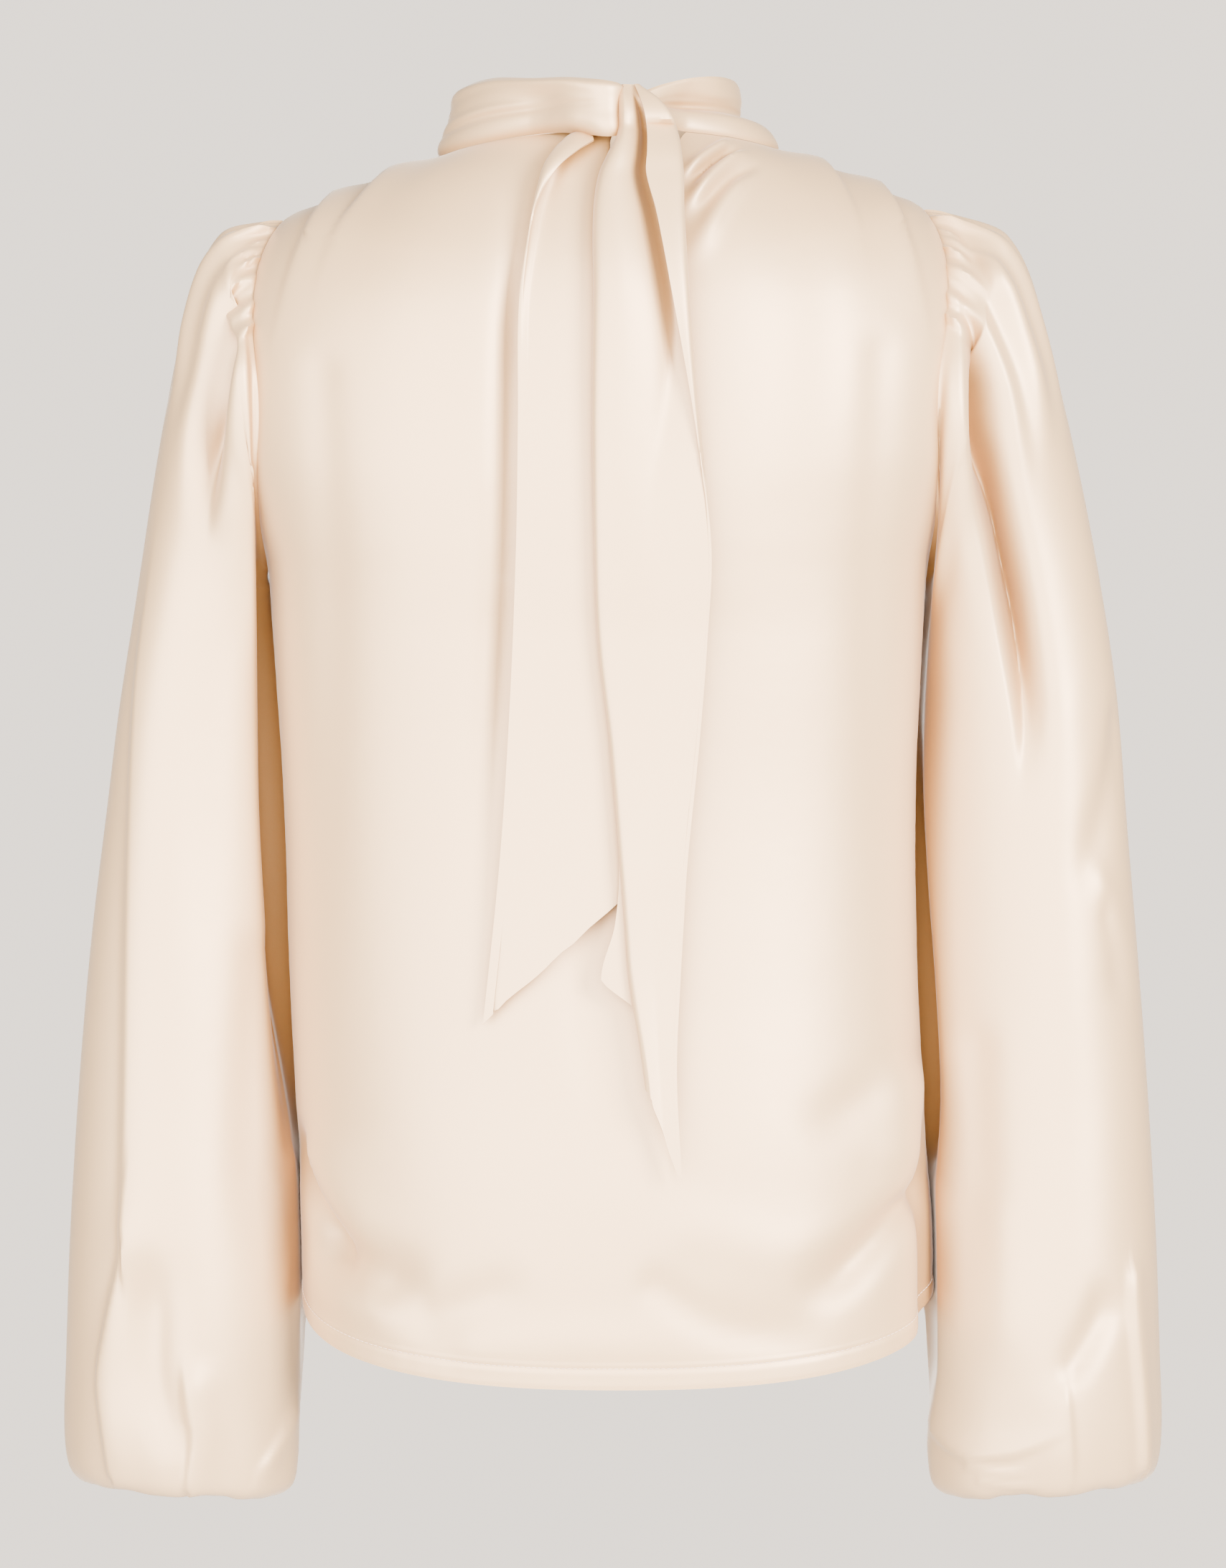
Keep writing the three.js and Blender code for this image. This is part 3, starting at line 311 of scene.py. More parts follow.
@dataclass
class BodyForm:
    """The hollow form of the body: rings, shoulder pleats and folds."""

    rings: SizeTable = BODY_RINGS
    lean: float = 0.02
    lean_end: float = 420.0
    armhole_back: float = 30 * DEGREE
    armhole_front: float = 32 * DEGREE
    armhole_curve: float = 0.8
    seam_fade: float = 34.0
    right_groove: float = 8.0
    right_groove_top: float = -470.0
    right_groove_fade: float = 70.0
    right_groove_depth: float = 27.0
    left_groove: float = 9.0
    left_groove_top: float = -500.0
    left_groove_foot: float = -572.0
    left_groove_fade: float = 36.0
    left_groove_end: float = 34.0
    left_groove_depths: tuple[float, float] = (24.0, 58.0)
    left_groove_turn: float = -515.0
    left_groove_run: float = 60.0
    groove_wide: float = 15.0
    pleat_sink: float = 2.0
    sink_down: float = 62.0
    sink_wide: float = 34.0
    sink_reach: float = 90.0
    pucker_wide: float = 9.0
    neck_height: float = 7.0
    neck_depth: float = -63.0

    def form(self, turn: np.ndarray, down: np.ndarray) -> np.ndarray:
        """Smooth body, with no folds.

        Args:
            turn: angle from the right side seam, 90 degrees at the centre back.
            down: distance down the cloth from the neckline.

        Returns:
            Points of the body.
        """
        ring = self.rings.at(down)
        power = 2 / ring["square"]
        behind = np.sin(turn) >= 0
        round_share = np.abs(np.sin(turn))
        depth = np.where(behind, -ring["back"], ring["front"])
        middle = np.where(behind, ring["rear"], ring["fore"])
        x = ring["shift"] + ring["half"] * signed_power(np.cos(turn), power)
        z = mix(ring["side"], middle, round_share ** ring["lift"])
        z = z + self.lean * x * (1 - ease(down / self.lean_end))
        return np.stack([x, depth * round_share**power, z], axis=-1)

    def normal(self, turn: np.ndarray, down: np.ndarray) -> np.ndarray:
        """Outward direction of the smooth body.

        Args:
            turn: angle from the right side seam.
            down: distance down the cloth.

        Returns:
            A direction of length one for each place.
        """
        step = 0.6 * DEGREE
        across = self.form(turn + step, down) - self.form(turn - step, down)
        along = self.form(turn, down + 2) - self.form(turn, down - 2)
        return unit(np.cross(across, along))

    def pleats(self, point: np.ndarray, down: np.ndarray) -> np.ndarray:
        """Height of the shoulder pleats, the same on both sides of the shoulder seam.

        Args:
            point: places on the smooth body.
            down: distance down the cloth.

        Returns:
            The rise of the cloth at each place, in millimetres.
        """
        seam = self.form(np.zeros_like(down), np.minimum(down, SHOULDER_TIP))
        run = np.hypot(point[..., 1], np.maximum(0, seam[..., 2] - point[..., 2]))
        height = np.zeros_like(run)
        for pleat in SHOULDER_PLEATS:
            share = run / pleat.reach
            offset = point[..., 0] * pleat.side.value - (pleat.x + pleat.swing * ease(share))
            wide = np.where(offset < 0, pleat.inner, pleat.outer)
            height += np.where(share < 1, pleat.rise * bell(offset, wide) * (1 - ease(share)), 0)
        level = self.pleat_sink * bell(down - self.sink_down, self.sink_wide)
        level = level * (1 - ease(run / self.sink_reach))
        return np.where(down < 2 * SHOULDER_TIP, height - level, 0)

    def surface(self, turn: np.ndarray, down: np.ndarray) -> np.ndarray:
        """The body with its pleats and folds.

        Args:
            turn: angle from the right side seam.
            down: distance down the cloth.

        Returns:
            Points of the cloth's outside.
        """
        point = self.form(turn, down)
        height = self.pleats(point, down)
        near = ease(np.abs(point[..., 1]) / self.seam_fade)
        behind = np.sin(turn) >= 0
        for folds, chosen in ((BACK_FOLDS, behind), (FRONT_FOLDS, ~behind)):
            total = sum(fold.height(point[..., 0], point[..., 2]) for fold in folds)
            height = height + np.where(chosen, total * near, 0)
        height = height + self.seam_puckers(point, down) - self.side_groove(point)
        return point + self.normal(turn, down) * height[..., None]

    def seam_puckers(self, point: np.ndarray, down: np.ndarray) -> np.ndarray:
        """The slight draw of the cloth along the side and shoulder seams, uneven along their length.

        Args:
            point: places on the smooth body.
            down: distance down the cloth.

        Returns:
            The rise of the cloth at each place, in millimetres.
        """
        fine = 0.10 * np.sin(down * 0.42 + 2 * np.sin(down * 0.061))
        broad = 0.12 * np.sin(down * 0.11 + 1)
        return (fine + broad) * bell(np.abs(point[..., 1]), self.pucker_wide)

    def side_groove(self, point: np.ndarray) -> np.ndarray:
        """How far each side is drawn in beside the hip, where the back's edge stands clear of the seam.

        Args:
            point: places on the smooth body.

        Returns:
            The depth of the groove at each place.
        """
        z = point[..., 2]
        right = ease((self.right_groove_top - z) / self.right_groove_fade)
        right = right * bell(point[..., 1] + self.right_groove_depth, self.groove_wide)
        depth = mix(*self.left_groove_depths, ease((self.left_groove_turn - z) / self.left_groove_run))
        left = ease((self.left_groove_top - z) / self.left_groove_fade)
        left = left * (1 - ease((self.left_groove_foot - z) / self.left_groove_end))
        left = left * bell(point[..., 1] + depth, self.groove_wide)
        return np.where(point[..., 0] > 0, self.right_groove * right, self.left_groove * left)

    def armhole_cut(self, down: np.ndarray, behind: np.ndarray) -> np.ndarray:
        """How far round the ring the armhole is cut in from the side line.

        Args:
            down: distance down the cloth.
            behind: true on the back.

        Returns:
            The angle from the side line to the armhole's edge.
        """
        share = np.clip((down - SHOULDER_TIP) / (UNDERARM - SHOULDER_TIP), 0, 1)
        widest = np.where(behind, self.armhole_back, self.armhole_front)
        return widest * np.sin(np.pi * share) ** self.armhole_curve

    def edge_turn(self, down: np.ndarray, behind: bool, seam: float) -> np.ndarray:
        """Angle of a panel's side edge from the side line, with half a seam of the given width.

        Args:
            down: distance down the cloth.
            behind: true for the back panel.
            seam: width of the seam between the panels.

        Returns:
            The angle at each row.
        """
        ring = self.rings.at(down)
        depth = ring["back"] if behind else ring["front"]
        half_seam = np.arcsin((seam / 2 / depth) ** (ring["square"] / 2))
        return half_seam + self.armhole_cut(down, np.full(np.shape(down), behind))

    def turn_at(self, x: np.ndarray, down: np.ndarray) -> np.ndarray:
        """Angle of the ring at a place across the back.

        Args:
            x: places across.
            down: distance down the cloth.

        Returns:
            The angle at each place.
        """
        ring = self.rings.at(down)
        cosine = signed_power((x - ring["shift"]) / ring["half"], ring["square"] / 2)
        return np.arccos(np.clip(cosine, -1, 1))

    def armhole(self, side: Side, around: np.ndarray) -> np.ndarray:
        """The armhole as a closed curve, from 0 at the shoulder tip over 90 degrees at the back.

        Args:
            side: which armhole.
            around: angles round it.

        Returns:
            Points on its rim.
        """
        behind = np.sin(around) >= 0
        down = mix(SHOULDER_TIP, UNDERARM, (1 - np.cos(around)) / 2)
        cut = self.armhole_cut(down, behind) * np.where(behind, 1, -1)
        return self.surface(cut if side is Side.RIGHT else np.pi - cut, down)

    def side_reach(self, side: Side, y: np.ndarray, z: np.ndarray) -> np.ndarray:
        """Outward distance of the body's side at a depth and a height, which the sleeve keeps clear of.

        Args:
            side: which side.
            y: depths.
            z: heights.

        Returns:
            The distance from the middle plane at each place.
        """
        names = self.rings.columns
        order = [names.index("side"), *(index for index, name in enumerate(names) if name != "side")]
        rows = tuple(tuple(row[index] for index in order) for row in self.rings.rows[3:])
        table = SizeTable(tuple(names[index] for index in order), rows)
        ring = table.at(np.clip(z, rows[-1][0], rows[0][0]))
        depth = np.where(y < 0, ring["back"], ring["front"])
        inside = np.maximum(0, 1 - (np.abs(y) / depth) ** ring["square"])
        cut = np.cos(self.armhole_cut(ring["down"], np.full(z.shape, True))) ** (2 / ring["square"])
        share = mix(cut, inside ** (1 / ring["square"]), ease((UNDERARM_HEIGHT - z) / 40))
        return side.value * ring["shift"] + ring["half"] * share

    def back_depth(self, x: np.ndarray, z: np.ndarray) -> np.ndarray:
        """Depth of the back at a place seen from behind; above the neckline it stays at the neckline's.

        Args:
            x: places across.
            z: heights.

        Returns:
            The y of the smooth back at each place.
        """
        down = np.clip(-z, 0, HEM_DOWN)
        turn = self.turn_at(x, down)
        for _ in range(12):
            down = np.clip(down + (self.form(turn, down)[..., 2] - z) * 0.8, 0, HEM_DOWN)
            turn = self.turn_at(x, down)
        return np.where(z >= self.neck_height, self.neck_depth, self.form(turn, down)[..., 1])


def even_turns(start: np.ndarray, stop: np.ndarray, count: int) -> np.ndarray:
    """Angles between two others, evenly spaced along the cloth of a ring.

    Args:
        start: first angle of each row.
        stop: last angle of each row.
        count: columns.

    Returns:
        A row of angles for each pair.
    """
    fine = np.linspace(-0.5 * np.pi, 2.5 * np.pi, 4321)
    points = BodyForm().form(fine, np.full(fine.shape, 400.0))
    length = np.concatenate([[0.0], np.cumsum(np.linalg.norm(points[1:] - points[:-1], axis=1))])
    first = np.interp(start, fine, length)[:, None]
    last = np.interp(stop, fine, length)[:, None]
    return np.interp(mix(first, last, np.linspace(0, 1, count)[None, :]), length, fine)


def select_only(*things: bpy.types.Object) -> None:
    """Selects these objects and no others, and makes the last one active.

    Args:
        things: the objects.
    """
    bpy.ops.object.select_all(action="DESELECT")
    for thing in things:
        thing.select_set(True)
    bpy.context.view_layer.objects.active = things[-1]


def edit_whole(operator: Callable[..., set[str]], **options: float) -> None:
    """Runs one edit mode operator on the whole of the active mesh.

    Args:
        operator: the operator.
        options: its options.
    """
    bpy.ops.object.mode_set(mode="EDIT")
    bpy.ops.mesh.select_all(action="SELECT")
    operator(**options)
    bpy.ops.object.mode_set(mode="OBJECT")


def cloth_sheet(name: str, points: np.ndarray, sizes: np.ndarray, closed: bool = False) -> bpy.types.Object:
    """Adds a grid and lays it on rows of points.

    Args:
        name: the piece's name.
        points: rows of columns of points, in millimetres, seen from the outside.
        sizes: the cloth's own places across and along, in millimetres, for its pattern.
        closed: true if the last column meets the first.

    Returns:
        The sheet, one face thick.
    """
    rows, columns = points.shape[:2]
    bpy.ops.object.select_all(action="DESELECT")
    bpy.ops.mesh.primitive_grid_add(x_subdivisions=columns - 1, y_subdivisions=rows - 1, size=1)
    piece = bpy.context.object
    piece.name = name
    piece.data.name = name
    mesh = piece.data
    mesh.vertices.foreach_set("co", (points.reshape(-1, 3) * MILLIMETRE).ravel())
    corner = np.zeros(len(mesh.loops), dtype=np.int32)
    mesh.loops.foreach_get("vertex_index", corner)
    pattern = sizes.reshape(-1, 2)[corner] * MILLIMETRE
    mesh.uv_layers.active.data.foreach_set("uv", pattern.ravel())
    mesh.update()
    if closed:
        edit_whole(bpy.ops.mesh.remove_doubles, threshold=1e-6)
    return piece


def face_outwards(piece: bpy.types.Object, centre: np.ndarray) -> None:
    """Turns a sheet's faces away from a point inside it.

    Args:
        piece: the sheet.
        centre: the point inside it, in millimetres.
    """
    mesh = piece.data
    middle = np.zeros(len(mesh.polygons) * 3)
    facing = np.zeros(len(mesh.polygons) * 3)
    mesh.polygons.foreach_get("center", middle)
    mesh.polygons.foreach_get("normal", facing)
    away = middle.reshape(-1, 3) - centre * MILLIMETRE
    if np.sum(away * facing.reshape(-1, 3)) < 0:
        select_only(piece)
        edit_whole(bpy.ops.mesh.flip_normals)


def thicken(piece: bpy.types.Object, wall: float, offset: float = -1.0) -> None:
    """Gives a sheet its thickness and smooth shading.

    Args:
        piece: the sheet.
        wall: thickness in millimetres.
        offset: -1 grows it inwards, 0 both ways.
    """
    select_only(piece)
    solid = piece.modifiers.new("cloth", "SOLIDIFY")
    solid.thickness = wall * MILLIMETRE
    solid.offset = offset
    solid.use_even_offset = False
    bpy.ops.object.modifier_apply(modifier=solid.name)
    bpy.ops.object.shade_smooth_by_angle(angle=50 * DEGREE)


def set_inputs(node: bpy.types.Node, values: NodeValues) -> None:
    """Sets inputs of a shader node by their names."""
    for label, value in values.items():
        node.inputs[label].default_value = value


def add_node(
    material: bpy.types.Material, kind: str, values: NodeValues, **options: str | int
) -> bpy.types.Node:
    """Adds a shader node.

    Args:
        material: the material that it joins.
        kind: its type.
        values: the values of its inputs.
        options: its own options, which are set before its inputs.

    Returns:
        The node.
    """
    node = material.node_tree.nodes.new(kind)
    for label, option in options.items():
        setattr(node, label, option)
    set_inputs(node, values)
    return node


def new_material(name: str, values: NodeValues) -> bpy.types.Material:
    """Adds a material with one shader.

    Args:
        name: the material's name.
        values: the values of the shader's inputs.

    Returns:
        The material.
    """
    material = bpy.data.materials.new(name)
    material.use_nodes = True
    set_inputs(material.node_tree.nodes["Principled BSDF"], values)
    return material


@dataclass(frozen=True)
class SatinFinish:
    """Satin: a tan body under a pale, broad gloss, with a fine weave, a soft uneven hand and painted shade in
    its recesses.
    """

    name: str
    light: tuple[float, float, float] = (0.57, 0.362, 0.185)
    deep: tuple[float, float, float] = (0.55, 0.336, 0.16)
    # The next five values paint shade into recesses: a dark brown shade colour, then the reach, limits and
    # samples of its occlusion mask.
    recess_shade: tuple[float, float, float] = (0.36, 0.17, 0.045)
    shade_reach: float = 0.028
    shade_full: float = 0.35
    shade_none: float = 0.85
    shade_samples: int = 8
    gloss: float = 0.2
    roughness: float = 0.46
    sheen: float = 0.24
    weave: float = 5200.0
    float_share: float = 0.16
    weave_depth: float = 0.06
    hand_depth: float = 0.25

    def make(self) -> bpy.types.Material:
        """Builds the material.

        Returns:
            A material whose weave follows the cloth's own UV map.
        """
        look = {
            "Roughness": self.roughness,
            "Metallic": self.gloss,
            "Specular IOR Level": 0.9,
            "Specular Tint": (1.0, 0.93, 0.88, 1.0),
            "Sheen Weight": self.sheen,
            "Sheen Roughness": 0.4,
            "Sheen Tint": (1.0, 0.9, 0.8, 1.0),
        }
        material = new_material(self.name, look)
        links = material.node_tree.links
        shader = material.node_tree.nodes["Principled BSDF"]
        place = add_node(material, "ShaderNodeTexCoord", {})
        tone = add_node(material, "ShaderNodeTexNoise", {"Scale": 9.0, "Detail": 3.0})
        limits = {"From Min": 0.35, "From Max": 0.75, "To Max": 0.35}
        amount = add_node(material, "ShaderNodeMapRange", limits)
        tones = {"A": (*self.light, 1.0), "B": (*self.deep, 1.0)}
        blend = add_node(material, "ShaderNodeMix", tones, data_type="RGBA")
        links.new(place.outputs["Object"], tone.inputs["Vector"])
        links.new(tone.outputs["Fac"], amount.inputs["Value"])
        links.new(amount.outputs["Result"], blend.inputs["Factor"])
        # The base colour carries painted shade in folds and recesses.
        links.new(self.paint_recess_shade(material, blend.outputs["Result"]), shader.inputs["Base Color"])
        hand = add_node(material, "ShaderNodeTexNoise", {"Scale": 60.0, "Detail": 4.0})
        soft = add_node(material, "ShaderNodeBump", {"Strength": self.hand_depth, "Distance": 0.0006})
        weave = add_node(material, "ShaderNodeBump", {"Strength": self.weave_depth, "Distance": 0.00005})
        links.new(place.outputs["Object"], hand.inputs["Vector"])
        links.new(hand.outputs["Fac"], soft.inputs["Height"])
        links.new(self.threads(material, place), weave.inputs["Height"])
        links.new(soft.outputs["Normal"], weave.inputs["Normal"])
        links.new(weave.outputs["Normal"], shader.inputs["Normal"])
        return material

    def paint_recess_shade(self, material: bpy.types.Material, colour: bpy.types.NodeSocket) -> bpy.types.NodeSocket:
        """Paints shade into the satin's colour where folds close in on it: an occlusion mask mixes in a brown
        shade colour in place of the light passed on between folds.

        Args:
            material: the satin.
            colour: its colour in the open.

        Returns:
            The colour with painted shade in its recesses.
        """
        links = material.node_tree.links
        reach = {"Distance": self.shade_reach}
        # Painted shade: occlusion darkens the base colour toward the brown shade colour in folds and
        # recesses.
        closed = add_node(material, "ShaderNodeAmbientOcclusion", reach, samples=self.shade_samples)
        limits = {"From Min": self.shade_full, "From Max": self.shade_none, "To Min": 1.0, "To Max": 0.0}
        share = add_node(material, "ShaderNodeMapRange", limits)
        shade_mix = add_node(material, "ShaderNodeMix", {"B": (*self.recess_shade, 1.0)}, data_type="RGBA")
        links.new(closed.outputs["AO"], share.inputs["Value"])
        links.new(share.outputs["Result"], shade_mix.inputs["Factor"])
        links.new(colour, shade_mix.inputs["A"])
        return shade_mix.outputs["Result"]

    def threads(self, material: bpy.types.Material, place: bpy.types.Node) -> bpy.types.NodeSocket:
        """The weave's long floats: fine lines along the cloth, broken across it.

        Args:
            material: the satin.
            place: its texture coordinates.

        Returns:
            The height of the threads.
        """
        links = material.node_tree.links
        stretched = {"Scale": (self.weave, self.weave * self.float_share, 1.0)}
        stretch = add_node(material, "ShaderNodeMapping", stretched)
        threads = add_node(material, "ShaderNodeTexNoise", {"Scale": 1.0, "Detail": 1.0})
        links.new(place.outputs["UV"], stretch.inputs["Vector"])
        links.new(stretch.outputs["Vector"], threads.inputs["Vector"])
        return threads.outputs["Fac"]


@dataclass(frozen=True)
class ThreadFinish:
    """Sewing thread in the cloth's own colour, a shade deeper."""

    name: str
    colour: tuple[float, float, float] = (0.72, 0.54, 0.40)

    def make(self) -> bpy.types.Material:
        """Builds the thread's material, with its twist as a fine wave.

        Returns:
            The material.
        """
        material = new_material(self.name, {"Base Color": (*self.colour, 1.0), "Roughness": 0.6})
        links = material.node_tree.links
        place = add_node(material, "ShaderNodeTexCoord", {})
        twist = add_node(material, "ShaderNodeTexWave", {"Scale": 900.0})
        bump = add_node(material, "ShaderNodeBump", {"Strength": 0.3, "Distance": 0.0001})
        links.new(place.outputs["Object"], twist.inputs["Vector"])
        links.new(twist.outputs["Fac"], bump.inputs["Height"])
        links.new(bump.outputs["Normal"], material.node_tree.nodes["Principled BSDF"].inputs["Normal"])
        return material


SATIN = SatinFinish("satin_cream")
BAND_SATIN = SatinFinish("satin_band")
TIE_SATIN = SatinFinish("satin_tie")


def dress(piece: bpy.types.Object, material: bpy.types.Material, node: str) -> None:
    """Gives a piece its finish and its place in the frame.

    Args:
        piece: the finished mesh.
        material: its finish.
        node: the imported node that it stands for.
    """
    piece.data.materials.clear()
    piece.data.materials.append(material)
    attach(piece, "root")
    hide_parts(node)
    log.info("%s: %d faces", piece.name, len(piece.data.polygons))


@dataclass
class Panels:
    """The back and front of the body."""

    body: BodyForm
    columns: int = 84
    front_columns: int = 150
    shoulder_rows: int = 46
    armhole_rows: int = 46
    side_rows: int = 100
    hem_rows: int = 22
    hem_zone: float = 13.0
    seam: float = 0.25
    seam_depth: float = 0.4
    seam_wide: float = 2.2
    slit_left: float = -22.0
    slit_right: float = 38.0
    slit_foot: float = 3.0
    slit_down: float = 144.0
    slit_curve: float = 0.8
    wall: float = 0.7
    hem_width: float = 9.0
    hem_rise: float = 0.5
    stitch_sink: float = 0.6
    stitch_up: float = 1.2
    edge_sink: float = 0.35

    def downs(self) -> np.ndarray:
        """Rows of the panels, closer together over the shoulder.

        Returns:
            Distances down the cloth.
        """
        return np.concatenate(
            [
                np.linspace(0, SHOULDER_TIP, self.shoulder_rows, endpoint=False),
                np.linspace(SHOULDER_TIP, UNDERARM, self.armhole_rows, endpoint=False),
                np.linspace(UNDERARM, HEM_DOWN - self.hem_zone, self.side_rows, endpoint=False),
                np.linspace(HEM_DOWN - self.hem_zone, HEM_DOWN, self.hem_rows),
            ]
        )

    def lay(
        self, name: str, start: np.ndarray, stop: np.ndarray, columns: int, seams: tuple[bool, bool]
    ) -> bpy.types.Object:
        """Lays one sheet between two angles of every row.

        Args:
            name: the sheet's name.
            start: first angle of each row.
            stop: last angle of each row.
            columns: columns of the sheet.
            seams: whether the first and the last column are sewn to another piece.

        Returns:
            The sheet, one face thick.
        """
        downs = self.downs()
        turns = even_turns(start, stop, columns)
        rows = np.repeat(downs[:, None], columns, axis=1)
        points = self.body.surface(turns, rows)
        steps = np.linalg.norm(np.diff(points, axis=1), axis=2)
        across = np.concatenate([np.zeros((len(downs), 1)), np.cumsum(steps, axis=1)], axis=1)
        height = self.hem(rows, points)
        for sewn, away in zip(seams, (across, across[:, -1:] - across)):
            if sewn:
                height -= self.seam_depth * bell(away, self.seam_wide)
        points += self.body.normal(turns, rows) * height[..., None]
        across -= across[:, -1:] / 2
        return cloth_sheet(name, points, np.stack([across, rows], axis=-1))

    def hem(self, rows: np.ndarray, points: np.ndarray) -> np.ndarray:
        """Height of the turned hem: a thin step, drawn in along its line of stitches.

        Args:
            rows: distance down the cloth.
            points: places of the panel.

        Returns:
            The rise of the cloth at each place, in millimetres.
        """
        up = HEM_DOWN - rows
        ripple = 0.05 * np.sin(points[..., 0] * 0.55) + 0.14 * np.sin(points[..., 0] * 0.13 + 1)
        step = self.hem_rise * (1 - ease((up - self.hem_width + 0.5) / 1.6))
        groove = -self.stitch_sink * bell(up - self.hem_width + self.stitch_up, 1.2)
        edge = -self.edge_sink * bell(up, 1.0)
        return step + groove + edge + ripple * bell(up - 5, 7)

    def make_back(self, satin: bpy.types.Material) -> bpy.types.Object:
        """Back panel: two halves that part at the slit and are one cloth below it.

        Args:
            satin: its material.

        Returns:
            The piece, dressed.
        """
        downs = self.downs()
        passed = (downs / self.slit_down).clip(0, 1)
        opening = np.where(downs < self.slit_down, 1 - passed**self.slit_curve, 0)
        edge = self.body.edge_turn(downs, True, self.seam)
        right_lip = self.body.turn_at(mix(self.slit_foot, self.slit_right, opening), downs)
        left_lip = self.body.turn_at(mix(self.slit_foot, self.slit_left, opening), downs)
        right = self.lay("back_right", edge, right_lip, self.columns, (True, False))
        left = self.lay("back_left", left_lip, np.pi - edge, self.columns, (False, True))
        select_only(left, right)
        bpy.ops.object.join()
        back = bpy.context.object
        back.name = "blouse_back"
        back.data.name = "blouse_back"
        edit_whole(bpy.ops.mesh.remove_doubles, threshold=2e-5)
        face_outwards(back, BODY_MIDDLE)
        thicken(back, self.wall)
        dress(back, satin, "back_panel")
        return back

    def make_front(self, satin: bpy.types.Material) -> bpy.types.Object:
        """Front panel, in one piece.

        Args:
            satin: its material.

        Returns:
            The piece, dressed.
        """
        downs = self.downs()
        edge = self.body.edge_turn(downs, False, self.seam)
        front = self.lay("blouse_front", np.pi + edge, 2 * np.pi - edge, self.front_columns, (True, True))
        face_outwards(front, BODY_MIDDLE)
        thicken(front, self.wall)
        dress(front, satin, "front_panel")
        return front


SLEEVE_RINGS = SizeTable(
    ("along", "over_x", "over_z", "under_x", "under_z", "back", "front", "tuck"),
    (
        (8, 178, -25, 178, -213, 62, 63, 0),
        (18, 190, -28, 182, -221, 66, 69, 6),
        (32, 203, -38, 182, -231, 66, 70, 13),
        (52, 215, -55, 180, -244, 64, 69, 18),
        (82, 225, -83, 177, -262, 60, 67, 23),
        (122, 235, -121, 173, -288, 57, 65, 27),
        (172, 245, -170, 169, -322, 54, 64, 30),
        (232, 255, -229, 166, -364, 53, 63, 31),
        (292, 264, -289, 163, -407, 53, 62, 30),
        (352, 270, -349, 161, -451, 54, 61, 28),
        (412, 276, -408, 160, -496, 56, 61, 25),
        (472, 281, -468, 160, -541, 58, 60, 21),
        (532, 285, -528, 161, -585, 60, 60, 16),
        (592, 288, -588, 163, -628, 61, 60, 11),
        (642, 289, -640, 166, -664, 60, 58, 8),
        (677, 289, -675, 167, -690, 57, 60, 6),
        (692, 286, -693, 170, -703, 52, 54, 4),
        (704, 277, -700, 180, -707, 44, 45, 2),
        (716, 265, -694, 191, -699, 38, 38, 1),
        (740, 264, -670, 192, -670, 36, 36, 0),
    ),
)

LEFT_SLEEVE_FOLDS = (
    Fold(((180, -84), (183, -112), (182, -150), (180, -200), (179, -270), (178, -340), (175, -400),
          (172, -460), (168, -520)), -18, 4, 5, beyond=15, start=0.2, stop=0.2),
    Fold(((190, -64), (198, -88), (205, -122), (210, -160), (213, -210)), -17, 7, 11, beyond=5, start=0.14),
    Fold(((186, -76), (194, -112), (197, -165), (196, -240)), 4, 6, 12, start=0.0),
    Fold(((196, -50), (208, -80), (217, -112), (224, -150)), -4, 4, 8, start=0.1),
    Fold(((202, -44), (218, -80), (230, -126)), 2.4, 6, 10, start=0.1),
    Fold(((236, -170), (243, -240), (248, -300), (251, -390), (252, -480), (253, -566)), 4.4, 4, 4, beyond=24,
         start=0.0, stop=0.8),
    Fold(((252, -540), (254, -575), (260, -605), (266, -640), (264, -664), (261, -692)), 5, 3, 3, beyond=12,
         start=0.3, stop=0.6),
    Fold(((240, -572), (239, -605), (238, -640), (232, -664), (224, -686)), -5.5, 12, 9, start=0.0, stop=0.3),
    Fold(((223, -630), (221, -656), (218, -672), (221, -698)), 3.4, 2.6, 2.6, beyond=14, start=0.1, stop=0.8),
    Fold(((166, -660), (175, -676), (186, -694)), 2.2, 2.4, 2.4, beyond=6, stop=0.4),
    Fold(((214, -210), (216, -330), (212, -460)), -2.2, 16, 24),
    Fold(((186, -420), (190, -520), (188, -600)), -2.0, 9, 14),
)
